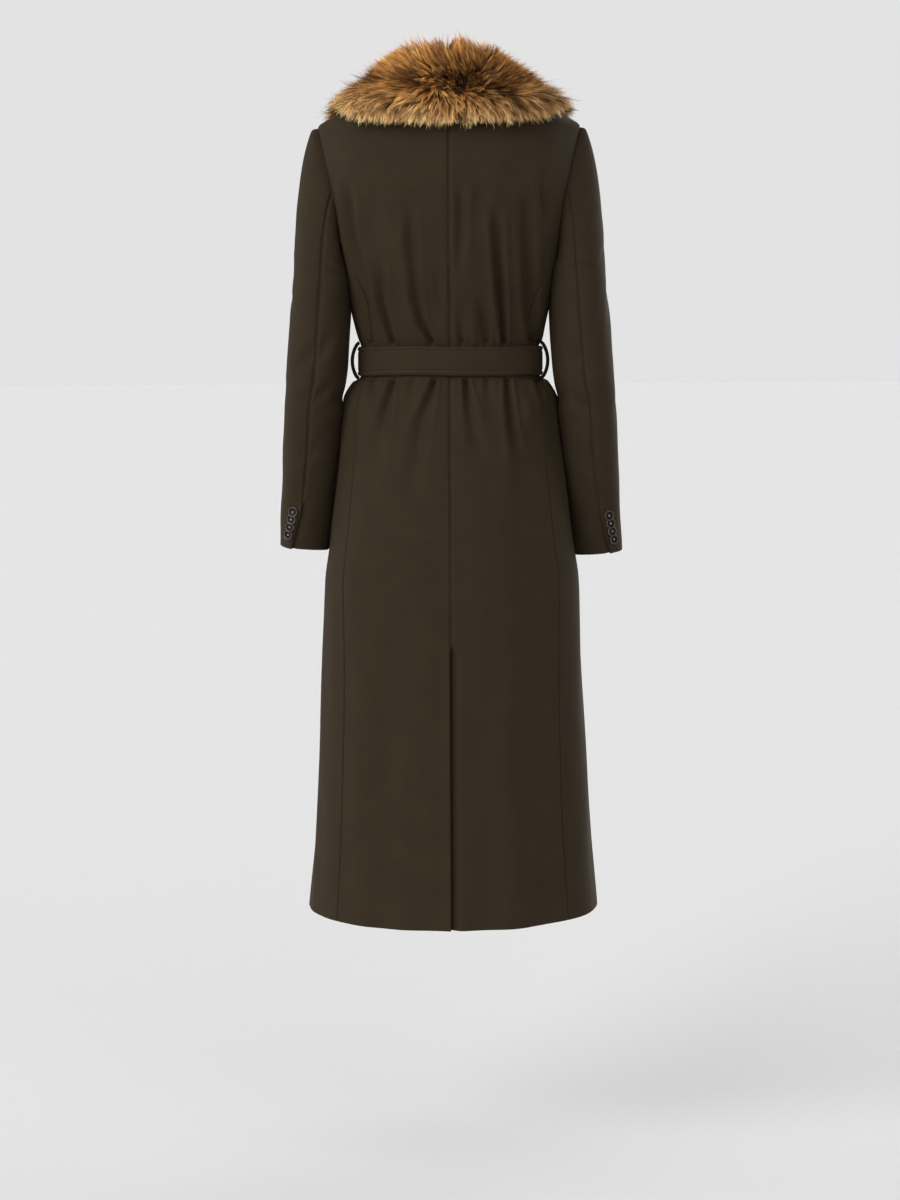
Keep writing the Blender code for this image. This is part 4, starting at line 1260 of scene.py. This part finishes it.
knot = beltKnot()
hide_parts("belt_knot")
for word, side, length, lean in (("left", 1, 0.270, 0.022), ("right", -1, 0.300, 0.010)):
    tail, sewing = beltTail(word, side, length, lean)
    declareCloth(tail, [f"belt_end_{word}"])

loop = {"half": 5 * mm, "thick": 5 * mm, "out": 10 * mm, "above": 6 * mm, "below": 4 * mm, "sewnIn": 1.8 * mm}


def beltLoop(word, side):
    # a narrow stitched strap standing off the side, sewn in above and below the belt
    share = np.linspace(0, 1, 48)
    top, foot = coat["beltTop"] + loop["above"], coat["beltFoot"] - loop["below"]
    height = mix(top, foot, share)
    base = mix(planPoint(side90, top)[0], planPoint(side90, foot)[0], share) - loop["sewnIn"]
    bow = loop["out"] * np.sin(math.pi * share) ** 0.6
    path = together(base + bow + loop["thick"] / 2, 0.0, height)
    depth = np.array([0.0, 1.0, 0.0])
    out = unit(np.cross(depth, unit(np.gradient(path, axis=0))))
    angle = np.linspace(0, 2 * math.pi, 25)[:-1]
    wide = signedPower(np.cos(angle), 0.5) * loop["half"]
    deep = signedPower(np.sin(angle), 0.6) * loop["thick"] / 2
    points = path[:, None] + wide[None, :, None] * depth + deep[None, :, None] * out[:, None]
    faces = tubeFaces(*points.shape[:2], flip=side > 0)
    uv = together(wide, height[:, None])
    return meshPiece(f"belt_loop_{word}_cloth", points * mirrored(side), faces, [wool], uv=uv, sharp=60)


for word, side in sides:
    strap = beltLoop(word, side)
    declareCloth(strap, [f"belt_loop_{word}"])
print("belt made")


# cuff buttons, modelled once and copied

button = {
    "radius": 7.1 * mm,
    "thick": 2.2 * mm,
    "rim": 0.95 * mm,            # how much of the edge gets the pale painted highlight
    "rolled": 0.9 * mm,
    "step": 0.5 * mm,            # from the rim down into the dish
    "stepDeep": 0.55 * mm,
    "dish": 1.0 * mm,
    "dishDeep": 0.12 * mm,
    "bevel": 0.42 * mm,
    "hole": 0.75 * mm,
    "holeOut": 1.75 * mm,
    "thread": 0.27 * mm,
    "threadApart": 0.25 * mm,
    "count": 4,
    "pitch": 10.9 * mm,
    "first": 21.2 * mm,          # from the cuff
    "fromSeam": 12.4 * mm,
    "offCloth": 1.5 * mm,
    "tilt": math.radians(12.5),
}


def buttonModel():
    # a turned disc with a rolled rim, a dished middle and four holes
    bpy.ops.mesh.primitive_cylinder_add(vertices=48, radius=button["radius"], depth=button["thick"])
    disc = bpy.context.object
    disc.name = "button_model"
    bpy.ops.object.mode_set(mode="EDIT")
    bpy.ops.mesh.select_all(action="DESELECT")
    shape = bmesh.from_edit_mesh(disc.data)
    max(shape.faces, key=lambda f: f.calc_center_median().z).select_set(True)
    bmesh.update_edit_mesh(disc.data)
    bpy.ops.mesh.inset(thickness=button["rolled"])
    bpy.ops.mesh.inset(thickness=button["step"], depth=-button["stepDeep"])
    bpy.ops.mesh.inset(thickness=button["dish"], depth=-button["dishDeep"])
    bpy.ops.mesh.select_all(action="DESELECT")
    shape = bmesh.from_edit_mesh(disc.data)
    for edge in shape.edges:
        rim = all(math.hypot(v.co.x, v.co.y) > button["radius"] - 1.0 * mm for v in edge.verts)
        level = abs(edge.verts[0].co.z - edge.verts[1].co.z) < 1e-6
        edge.select_set(rim and level)
    bmesh.update_edit_mesh(disc.data)
    bpy.ops.mesh.bevel(offset=button["bevel"], segments=3)
    bpy.ops.object.mode_set(mode="OBJECT")
    disc.data.materials.append(horn)
    disc.data.materials.append(hornRimHighlight)
    # the faces round the rim take the material with the pale painted highlight
    for face in disc.data.polygons:
        away = math.hypot(face.center.x, face.center.y)
        face.material_index = int(button["radius"] - button["rim"] < away and face.center.z > -0.5 * mm)
    for k in range(4):
        angle = math.pi / 4 + k * math.pi / 2
        spot = (button["holeOut"] * math.cos(angle), button["holeOut"] * math.sin(angle), 0)
        bpy.ops.mesh.primitive_cylinder_add(vertices=14, radius=button["hole"], depth=8 * mm, location=spot)
        drill = bpy.context.object
        cut = disc.modifiers.new("hole", "BOOLEAN")
        cut.operation, cut.object = "DIFFERENCE", drill
        bpy.context.view_layer.objects.active = disc
        bpy.ops.object.modifier_apply(modifier=cut.name)
        bpy.data.objects.remove(drill)
    bpy.ops.object.select_all(action="DESELECT")
    disc.select_set(True)
    bpy.context.view_layer.objects.active = disc
    bpy.ops.object.shade_smooth_by_angle(angle=math.radians(38))
    return disc


def threadModel():
    # two crossed bars of thread, each of two strands arched from hole to hole
    up = np.array([0.0, 0.0, 1.0])
    points, faces = [], []
    for bar in range(2):
        turned = math.pi / 4 + bar * math.pi / 2
        along = np.array([math.cos(turned), math.sin(turned), 0.0])
        across = np.array([-along[1], along[0], 0.0])
        for strand in (-1, 1):
            faces += tubeFaces(11, 8, len(points))
            for t in np.linspace(-1, 1, 11):
                arch = (1 - abs(t) ** 2.6) * 0.75 * mm - 0.55 * mm * abs(t) ** 6 + bar * 0.18 * mm
                centre = along * button["holeOut"] * 1.02 * t + up * arch
                centre = centre + across * strand * button["threadApart"]
                for a in np.linspace(0, 2 * math.pi, 9)[:-1]:
                    points.append(centre + (across * math.cos(a) + up * math.sin(a)) * button["thread"])
    return points, faces


disc = buttonModel()
threadPoints, threadFaces = threadModel()
floorOfDish = button["thick"] / 2 - button["stepDeep"] - button["dishDeep"]
for word, side in sides:
    for number in range(button["count"]):
        row = np.array(2 - (button["first"] + number * button["pitch"]) / (sleeve["top"] - sleeve["end"]))
        around = sleeveSeam(row) - button["fromSeam"] / sleeve["radius"]
        out = Vector(sleeveNormal(row, around) * mirrored(side))
        here = Vector(sleevePoint(row, around) * mirrored(side))
        here = here + out * (button["thick"] / 2 + button["offCloth"])
        here.z += float(cuffLift(row, around, side))
        # each one leans on the one above it
        arm = Vector((0.0, 0.0, 1.0)) - out * out.z
        lean = Matrix.Rotation(button["tilt"], 4, out.cross(arm))
        spin = Matrix.Rotation(0.35 * math.sin(3 * number + side), 4, "Z")
        place = Matrix.Translation(here) @ lean @ out.to_track_quat("Z", "Y").to_matrix().to_4x4() @ spin
        piece = bpy.data.objects.new(f"cuff_button_{word}_{number + 1}_horn", disc.data.copy())
        bpy.context.scene.collection.objects.link(piece)
        piece.data.transform(place)
        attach(piece, "root")
        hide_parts(f"cuff_button_{word}_{number + 1}")
        placed = [place @ Vector((p[0], p[1], p[2] + floorOfDish)) for p in threadPoints]
        thread = meshPiece(f"cuff_thread_{word}_{number + 1}", placed, threadFaces, [buttonThread], sharp=80)
bpy.data.objects.remove(disc)
print("buttons made")


# the fur collar

# station, neck turn and height, edge turn and height, rise of the roll, depth of the pile
collarAt = smoothTable([
    (0.00, 0, 0.000, 0, -0.064, 0.055, 0.032),
    (0.25, 42, 0.000, 41, -0.057, 0.054, 0.032),
    (0.50, 88, 0.000, 86, -0.042, 0.047, 0.031),
    (0.70, 130, -0.010, 106, -0.046, 0.036, 0.031),
    (0.85, 158, -0.040, 124, -0.056, 0.024, 0.029),
    (1.00, 164, -0.078, 141, -0.062, 0.010, 0.024),
])

collar = {
    "core": 0.45,                # the padded skin's share of the pile's depth
    "skinRoll": 0.76,            # the skin's share of the roll's height, and of the way to the edge
    "skinFall": 0.86,
    "offCloth": 4.5 * mm,
    "flatter": {1: 0.20, -1: 0.37},     # the roll is flatter on the way to the shoulders
    "innerFlatter": 0.3,         # the share of that on the side towards the neck, which stays up
    "shorter": {1: 0.09, -1: 0.03},     # the edge is nearer over the shoulders
    "size": (0.42, 0.26),        # along the neck and round the section, for the underwool's grain
}

# down the fur: share of the way from neck to edge, share of the pile's depth, share of that for the skin
collarFall = [
    (0.16, 1.28, 0.50),
    (0.45, 1.06, 0.44),
    (0.72, 0.92, 0.40),
    (0.92, 0.64, 0.40),
    (1.03, 0.26, 0.50),
]
# back up underneath: share of the way, how far off
collarUnder = [(0.94, 0.0), (0.60, 0.0), (0.25, 2 * mm)]


def collarRing(station, core, side):
    # the collar's section: up the stand, over the roll, down the fur, back up underneath
    neckTurn, neckHeight, edgeTurn, edgeHeight, rollUp, pile = collarAt(station)
    neckTurn, edgeTurn = np.radians(neckTurn), np.radians(edgeTurn)
    slack = bell(station - 0.43, 0.13)
    shown = (1 - core) / (1 - collar["core"])      # 1 on the skin, 0 at the tips
    rollUp = rollUp * mix(1.0, collar["skinRoll"], shown)
    inner = (rollUp * (1 - collar["innerFlatter"] * collar["flatter"][side] * slack))[..., None]
    roll = (rollUp * (1 - collar["flatter"][side] * slack))[..., None]
    short = 1 - collar["shorter"][side] * bell(station - 0.5, 0.2)
    short = short * mix(1.0, collar["skinFall"], shown)

    def fall(share, out):
        turn, height = mix(neckTurn, edgeTurn, share), mix(neckHeight, edgeHeight, share)
        lift = collar["offCloth"] + overlapLift(turn) + out
        return planPoint(turn, height) + planNormal(turn, height) * lift[..., None]

    out = planNormal(neckTurn, neckHeight)
    neck = planPoint(neckTurn, neckHeight) + out * overlapLift(neckTurn)[..., None]
    up = np.array([0.0, 0.0, 1.0])
    level = unit(out * np.array([1.0, 1.0, 0.0]))
    s = station[..., None]
    ring = [
        neck - up * 2.2 * mm - level * 2.8 * mm,            # the stand's foot, just inside the neck's edge
        neck + up * inner * 0.55 + level * mix(-2.0 * mm * (1 - s), 3.0 * mm, shown),
        neck + up * inner * mix(0.93, 1.06, slack[..., None]) + level * 9 * mm,
        neck + up * roll + level * mix(18 * mm, 28 * mm, s),
    ]
    ring += [fall(share * short, pile * depth * mix(1.0, skin, shown)) for share, depth, skin in collarFall]
    ring += [fall(share * short, 0 * pile + lift) for share, lift in collarUnder]
    ring.append(neck + level * 13 * mm + up * roll * 0.30)
    return np.stack(ring, -2)


def roundRing(ring, places):
    # a smooth closed curve through each ring's points, read at these places
    count = ring.shape[-2]
    i = np.floor(places).astype(int)
    t = (places - i)[:, None]
    a, b, c, d = (ring[..., (i + k) % count, :] for k in (-1, 0, 1, 2))
    bend = (2 * a - 5 * b + 4 * c - d) * t * t + (3 * b - a - 3 * c + d) * t ** 3
    return 0.5 * (2 * b + (c - a) * t + bend)


def collarCore(word, side):
    station = np.concatenate([np.linspace(0, 1, 56), [1.0, 1.0, 1.0]])
    places = np.linspace(0, 13, 79)[:-1]
    points = roundRing(collarRing(station, collar["core"], side), places)
    middle = points.mean(1, keepdims=True)
    # the front end is rounded off
    shrink = np.ones(len(station))
    shrink[-8:] = [0.98, 0.94, 0.88, 0.82, 0.74, 0.55, 0.30, 0.06]
    points = middle + (points - middle) * shrink[:, None, None]
    points[-3:] += np.array([2.5, 4.0, 4.6])[:, None, None] * mm * unit(middle[-4] - middle[-6])
    rows, columns = points.shape[:2]
    # the underside is faced with the coat's own cloth
    faced = np.tile((places > 8.6) & (places < 12.6), rows - 1)
    slots = np.concatenate([faced, [0, 0]])
    along, around = collar["size"]
    uv = together(np.linspace(0, along, rows)[:, None], np.linspace(0, around, columns))
    points = points * mirrored(side)
    faces = tubeFaces(rows, columns, flip=side > 0)
    return meshPiece(f"fur_collar_{word}_skin", points, faces, [underfur, wool], slots, uv, 80)


furLook = {
    "strands": 39000,            # on each half
    "levels": 4,                 # points along a hair
    "lock": 3.3 * mm,            # how far apart the locks are that hairs draw together into
    "lockLoose": 0.2,            # spread of directions
    "hairLoose": 0.16,
    "gather": (0.70, 0.96),      # how far hairs go to their lock
    "stray": 0.14,               # share of the hairs that don't
    "proud": 0.06,               # share that stand out of the rest
    "width": 0.44 * mm,
    "taper": [0.9, 1.0, 0.7, 0.0],
    "grows": (0.2, 7.3),         # places: 0 is the neck, 3 the top of the roll, 8 the lower edge
    "past": 6 * mm,              # how far hair hangs past the lower edge
    "whorl": -52 * mm,           # across, where the hair parts
    "curls": (-50, 0, 40, 18),   # a patch of short rough hair: middle and half size across and up, in mm
    "crest": (0.34, 3.0, 0.9, 0.60),     # fuller behind: reach in stations, place, half width, how much
    "streak": 0.024,             # share of the way round that a streak takes
    "streakLong": 0.006,
    "darkHairs": 0.14,           # share of the hairs that are dark all along
    # the root colour is partly the hair's own and partly painted shade deep in the pile
    "root": "#150a04",
    "mid": "#834a1a",
    "tip": "#dfa25a",
    "lowMid": "#865120",         # towards the lower edge
    "lowTip": "#f9c688",
    "darkMid": "#2f1808",
    "darkTip": "#6b4019",
}

# where else the pile is fuller or flatter: station and its half width, place and its half width, how much
pileAreas = [(0.47, 0.16, 4.0, 1.1, 0.08), (0.42, 0.10, 3.3, 1.2, -0.26), (0.50, 0.14, 5.5, 1.5, -0.35)]

# darker patches in the pelt: x, z, half width across, half height, in mm, and how dark
patches = [
    (47, 4, 24, 11, 1.0),
    (95, 8, 27, 9, 1.0),
    (-48, 3, 46, 21, 0.8),
    (-66, -6, 30, 14, 0.8),
    (-118, -16, 26, 10, 0.6),
    (84, -22, 26, 9, 0.4),
    (8, 30, 16, 12, 0.5),
]

# by place: the hair's length in mm; by station: where it parts, and how far it leans from straight up above
# the parting and from straight down below it
lengthAt = smoothTable([(0.0, 12), (1.5, 14), (3.0, 17), (4.2, 18), (5.0, 24), (6.5, 30), (8.2, 26)])
partingAt = smoothTable([(0.0, 3.8), (0.25, 3.4), (0.5, 2.8), (1.0, 2.6)])
leanUp = smoothTable([(0.0, 0.0), (0.12, -0.5), (0.3, -1.0), (0.6, -0.9), (1.0, -0.4)])
leanDown = smoothTable([(0.0, 0.05), (0.12, 0.12), (0.3, -0.15), (0.5, -0.45), (0.75, -0.1), (1.0, 0.2)])


def furPatch(points):
    # how dark the pelt is at each point, from 0 to 1
    x, z = points[:, 0] / mm, points[:, 2] / mm
    dark = np.zeros(len(points))
    for across, height, wide, tall, depth in patches:
        dark = np.maximum(dark, depth * bell(x - across, wide) * bell(z - height, tall))
    behind = eased((points[:, 1] + 0.01) / 0.05)
    spots = eased(ripple(points, 0.07, 61) * 0.5 + 0.2)
    dark = dark * behind + 0.55 * spots * (1 - behind)
    return np.clip(dark + 0.16 * ripple(points, 0.03, 62), 0.0, 1.0)


def hairTones(rng, roots, station, place, lockNoise, side):
    # colour from the root to the tip, darker in the patches, a few hairs dark all along; the dark root and
    # the darkened level a third along are partly painted shade between the locks
    count = len(roots)
    dark = furPatch(roots * mirrored(side))
    dark = np.clip(dark + rng.normal(0, 0.13, count), 0.0, 1.0)[:, None]
    lower = eased((place - 4.5) / 1.9)
    names = ("root", "mid", "tip", "lowMid", "lowTip", "darkMid", "darkTip")
    tones = {key: np.array(linear(furLook[key])) for key in names}
    root = tones["root"]
    mid = mix(mix(tones["mid"], tones["lowMid"], lower[:, None]), tones["darkMid"], dark)
    tip = mix(mix(tones["tip"], tones["lowTip"], lower[:, None]), tones["darkTip"], dark * 0.9)
    shade = np.exp(rng.normal(0, 0.32, count)) * lockNoise()
    # pale and dark streaks down the pile, and painted light: the hair is made paler towards the left, the
    # side the key light comes from
    streak = ripple(np.stack([station, place * furLook["streakLong"]], -1), furLook["streak"], 66 + side)
    paintedLightLeft = eased(0.5 + roots[:, 0] * side / 0.28)
    shade = shade * np.exp(mix(0.42, 0.85, lower) * streak)
    # painted light from the left, stronger towards the lower edge
    shade = shade * mix(mix(0.98, 1.10, paintedLightLeft), mix(0.86, 1.42, paintedLightLeft), lower)
    darkHair = rng.random(count) < furLook["darkHairs"]
    shade = np.where(darkHair, shade * 0.25, np.minimum(shade, 2.0))[:, None]
    # the root and the level a third along are kept dark, partly as painted shade deep in the pile
    return [root * mix(0.55, 1.0, shade), mix(root, mid, 0.5), mix(mid, tip, 0.42) * shade, tip * shade]


def furStrands(word, side, seed):
    # hairs as tapered ribbons between the skin and the reach of the fur, drawn together into locks
    rng = np.random.default_rng(seed)
    flipped = mirrored(side)
    stations, places = np.linspace(0, 1, 90), np.linspace(-0.4, 9.0, 132)
    skin = roundRing(collarRing(stations, collar["core"], side), places)
    reach = roundRing(collarRing(stations, 1.0, side), places)
    perStation = np.linalg.norm(np.gradient(reach, stations, axis=0), axis=-1, keepdims=True)
    perPlace = np.linalg.norm(np.gradient(reach, places, axis=1), axis=-1, keepdims=True)
    crossed = np.cross(np.gradient(skin, axis=1), np.gradient(skin, axis=0))
    outward = unit(crossed)
    if np.mean(outward[:20, 80:95, 1]) < 0:
        outward = -outward
    lowEnd, highEnd = furLook["grows"]
    cell = np.linalg.norm(crossed, axis=-1) * ((places > lowEnd) & (places < highEnd))
    chance = cell[:-1, :-1].ravel()

    def read(grid, station, place):
        # a grid's value at any station and place; stations below 0 lie past the centre back
        r = np.clip(np.abs(station), 0.0, 0.9999) * (len(stations) - 1)
        c = (np.clip(place, places[0], places[-1] - 0.001) - places[0]) / (places[1] - places[0])
        i, j = r.astype(int), c.astype(int)
        u, v = (r - i)[:, None], (c - j)[:, None]
        value = mix(mix(grid[i, j], grid[i, j + 1], v), mix(grid[i + 1, j], grid[i + 1, j + 1], v), u)
        if grid.shape[-1] == 3:
            value[:, 0] = np.where(station < 0, -value[:, 0], value[:, 0])
        return value

    def scatter(count):
        pick = rng.choice(len(chance), count, p=chance / chance.sum())
        r, c = np.divmod(pick, len(places) - 1)
        station = (r + rng.random(count)) / (len(stations) - 1)
        return station, places[0] + (c + rng.random(count)) * (places[1] - places[0])

    levels = np.linspace(0, 1, furLook["levels"])

    def down(station):
        # the way that hair hangs off the lower edge
        upper, lower = (read(reach, station, np.full(len(station), place)) for place in (6.6, 7.5))
        return unit(unit(lower - upper) + np.array([0.0, 0.0, -0.5]))

    def grow(station, place, loose):
        count = len(station)
        root = read(skin, station, place)
        here = root * flipped
        # combed up over the roll above the parting, down the fall below it, and between them sideways from
        # the whorl
        parting = partingAt(station)[0] + 0.45 * ripple(here, 0.06, 64)
        below = eased((place - parting + 1.1) / 2.2 + rng.normal(0, 0.09, count))
        unsettled = 4 * below * (1 - below)
        past = side * (here[:, 0] - furLook["whorl"]) + rng.normal(0, 7 * mm, count) > 0
        upwards = np.where(past, 1, -1) * (math.pi + leanUp(station)[0])
        angle = mix(upwards, leanDown(station)[0], below ** 0.65)
        settled = mix(1.0, 0.55, eased((place - 5.0) / 1.5))
        angle = angle + side * settled * (0.34 * ripple(here, 0.05, 63) + 0.24 * ripple(here, 0.016, 65))
        angle = angle + rng.normal(0, loose, count) + rng.normal(0, 0.18, count) * unsettled
        length = lengthAt(place)[0] * mm * np.clip(rng.normal(1.0, 0.24, count), 0.5, 1.6)
        length = length * mix(1.0, 0.8, unsettled)
        across, height, wide, tall = furLook["curls"]
        curly = np.exp(-((here[:, 0] / mm - across) / wide) ** 4 - ((here[:, 2] / mm - height) / tall) ** 4)
        curly = curly * (here[:, 1] > 0)
        angle = angle + rng.normal(0, 0.6, count) * curly
        length = length * mix(1.0, 0.55, curly)
        full = np.clip(rng.normal(1.0, 0.32, count), 0.35, 1.7)
        for middle, half, level, deep, more in pileAreas:
            full = full + more * bell(station - middle, half) * bell(place - level, deep)
        behind, level, deep, more = furLook["crest"]
        full = full + more * np.exp(-(station / behind) ** 4) * bell(place - level, deep)
        full = np.where(rng.random(count) < furLook["proud"], full * 1.4, full)
        # near the lower edge hair is shorter, so that it hangs only a little past it
        end = np.maximum(highEnd, place)
        hangs = furLook["past"] * (0.25 + np.clip(rng.exponential(0.7, count), 0.0, 2.6))
        hangs = hangs * (1 - 0.6 * bell(station - 0.47, 0.16))
        room = np.maximum(end - place, 0.0) * read(perPlace, station, np.minimum(place, 6.8))[:, 0] + hangs
        shorter = np.where(below > 0.4, np.minimum(1.0, room / length), 1.0)
        full = full * np.sqrt(shorter)
        step = length * shorter / (len(levels) - 1)
        curve, hang = [], np.zeros(count)
        for t in levels:
            hang = hang + np.maximum(place - end, 0.0) * read(perPlace, station, place)[:, 0]
            place = np.clip(place, -0.2, end)
            depth = full * t ** 1.1 - 0.06 * (t == 0)
            point = mix(read(skin, station, place), read(reach, station, place), depth[:, None])
            curve.append(point + down(station) * hang[:, None])
            place = place + np.cos(angle) * step / read(perPlace, station, place)[:, 0]
            station = station + np.sin(angle) * step / read(perStation, station, place)[:, 0]
        return root, np.stack(curve, 1)

    lockCount = int(cell.sum() / furLook["lock"] ** 2)
    lockRoot, locks = grow(*scatter(lockCount), furLook["lockLoose"])
    nearest = KDTree(lockCount)
    for i, root in enumerate(lockRoot):
        nearest.insert(root, i)
    nearest.balance()
    count = furLook["strands"]
    rootStation, rootPlace = scatter(count)
    normal = unit(read(outward, rootStation, rootPlace))[:, None]
    roots, hairs = grow(rootStation, rootPlace, furLook["hairLoose"])
    own = np.array([nearest.find(root)[1] for root in roots])
    gather = (rng.uniform(*furLook["gather"], count)[:, None] * levels[None] ** 0.8)[..., None]
    stray = (rng.random(count) < furLook["stray"])[:, None, None]
    toLock = locks[own] + (roots - lockRoot[own])[:, None] * (1 - 0.9 * levels)[None, :, None]
    hairs = np.where(stray, hairs, mix(hairs, toLock, gather))

    # ribbons lie mostly flat to the skin, turned a little at random
    ahead = unit(np.gradient(hairs, axis=1))
    flat = unit(np.cross(ahead, normal))
    facing = np.cross(flat, ahead)
    roll = rng.normal(0, 0.7, count)[:, None, None]
    flat = flat * np.cos(roll) + facing * np.sin(roll)
    width = furLook["width"] * np.clip(rng.normal(1.0, 0.25, count), 0.4, 1.7)
    half = flat * (width[:, None] * np.array(furLook["taper"]) / 2)[..., None]
    # two points at each level but the last, which is the tip
    doubled = np.array([0, 0, 1, 1, 2, 2, 3])
    edges = np.array([-1, 1, -1, 1, -1, 1, 0])[None, :, None]
    ribbon = hairs[:, doubled] + half[:, doubled] * edges
    shown = facing[:, doubled]
    shown = shown * np.sign((shown * normal).sum(-1, keepdims=True) + 1e-9)
    shown = unit(0.65 * shown + 0.55 * normal)

    def lockNoise():
        return np.exp(rng.normal(0, 0.55, lockCount))[own]

    byLevel = hairTones(rng, roots, rootStation, rootPlace, lockNoise, side)
    tone = np.clip(np.stack([byLevel[k] for k in doubled], 1), 0, 1).reshape(-1, 3)
    start = np.arange(count)[:, None] * len(doubled)
    faces = [start + np.array(corners) for corners in ([0, 1, 3, 2], [2, 3, 5, 4], [4, 5, 6])]
    faces = [face for part in faces for face in part[:, ::side].tolist()]
    piece = meshPiece(f"fur_collar_{word}_hair", ribbon * flipped, faces, [fur], sharp=180)
    layer = piece.data.attributes.new("hairTone", "FLOAT_COLOR", "POINT")
    rgba = np.concatenate([tone, np.ones((len(tone), 1))], 1)
    layer.data.foreach_set("color", rgba.astype(np.float32).ravel())
    piece.data.normals_split_custom_set_from_vertices((shown * flipped).reshape(-1, 3).tolist())
    return piece


for word, side in sides:
    skin = collarCore(word, side)
    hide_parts(f"fur_collar_{word}")
    hair = furStrands(word, side, 71 + side)
print("fur collar made")


# floor, light and camera

studio = {
    "floor": -1.52,
    "paper": [(0.3, "#cacaca"), (0.7, "#cccccc")],
    "dome": [(0.0, "#e3e3e3"), (0.56, "#e3e3e3"), (0.66, "#8c8c8c"), (1.0, "#7d7d7d")],     # by height
    "lights": [                  # name, the way to it, strength, spread
        ("key light", (1.0, 0.90, 0.66), 2.8, 50),
        ("fill light", (-0.45, 1.0, 0.35), 0.95, 60),
        ("top light", (0.1, -0.15, 1.0), 0.75, 80),
        ("front light", (-0.50, -1.0, 0.45), 1.7, 50),
        ("left rim light", (1.0, -0.40, 0.30), 0.75, 30),
        ("right rim light", (-1.0, -0.40, 0.30), 0.75, 30),
    ],
}


def paintPaper(tree):
    # even and pale
    return [rampColours(tree, noise(tree, objectPlace(tree), 4 * mm), studio["paper"])]


paper = makeMaterial("matt seamless paper", {"Roughness": 1.0, "Specular IOR Level": 0.0}, paintPaper)
bpy.ops.mesh.primitive_circle_add(vertices=96, radius=60, fill_type="NGON", location=(0, 0, studio["floor"]))
floor = bpy.context.object
floor.name = "floor"
floor.data.materials.append(paper)

world = bpy.data.worlds.new("studio")
world.use_nodes = True
sky = world.node_tree
towards = addNode(sky, "ShaderNodeTexCoord").outputs["Generated"]
upwards = addNode(sky, "ShaderNodeSeparateXYZ", links={"Vector": towards}).outputs["Z"]
upwards = addNode(sky, "ShaderNodeMapRange", {"From Min": -1.0}, {"Value": upwards}).outputs["Result"]
sky.links.new(rampColours(sky, upwards, studio["dome"]), sky.nodes["Background"].inputs["Color"])
bpy.context.scene.world = world

for name, towards, strength, spread in studio["lights"]:
    light = bpy.data.lights.new(name, "SUN")
    light.energy, light.angle = strength, math.radians(spread)
    lamp = bpy.data.objects.new(name, light)
    lamp.rotation_mode = "QUATERNION"
    lamp.rotation_quaternion = Vector(towards).to_track_quat("Z", "Y")
    bpy.context.scene.collection.objects.link(lamp)

view = {
    "place": (0.002, 4.2, -0.3391),
    "aim": (0.002, 0.0, -0.7279),
    "roll": -0.33,
    "sensor": 36.0,
    "focal": 2929 / 1200,        # as a share of the sensor
}
lens = bpy.data.cameras.new("camera")
lens.sensor_width, lens.lens = view["sensor"], view["focal"] * view["sensor"]
camera = bpy.data.objects.new("camera", lens)
bpy.context.scene.collection.objects.link(camera)
camera.location = view["place"]
heading = (Vector(view["aim"]) - Vector(view["place"])).to_track_quat("-Z", "Y")
camera.rotation_mode = "QUATERNION"
camera.rotation_quaternion = heading @ Matrix.Rotation(math.radians(view["roll"]), 3, "Z").to_quaternion()
bpy.context.scene.camera = camera
bpy.context.scene.view_settings.view_transform = "Standard"
print("studio made")
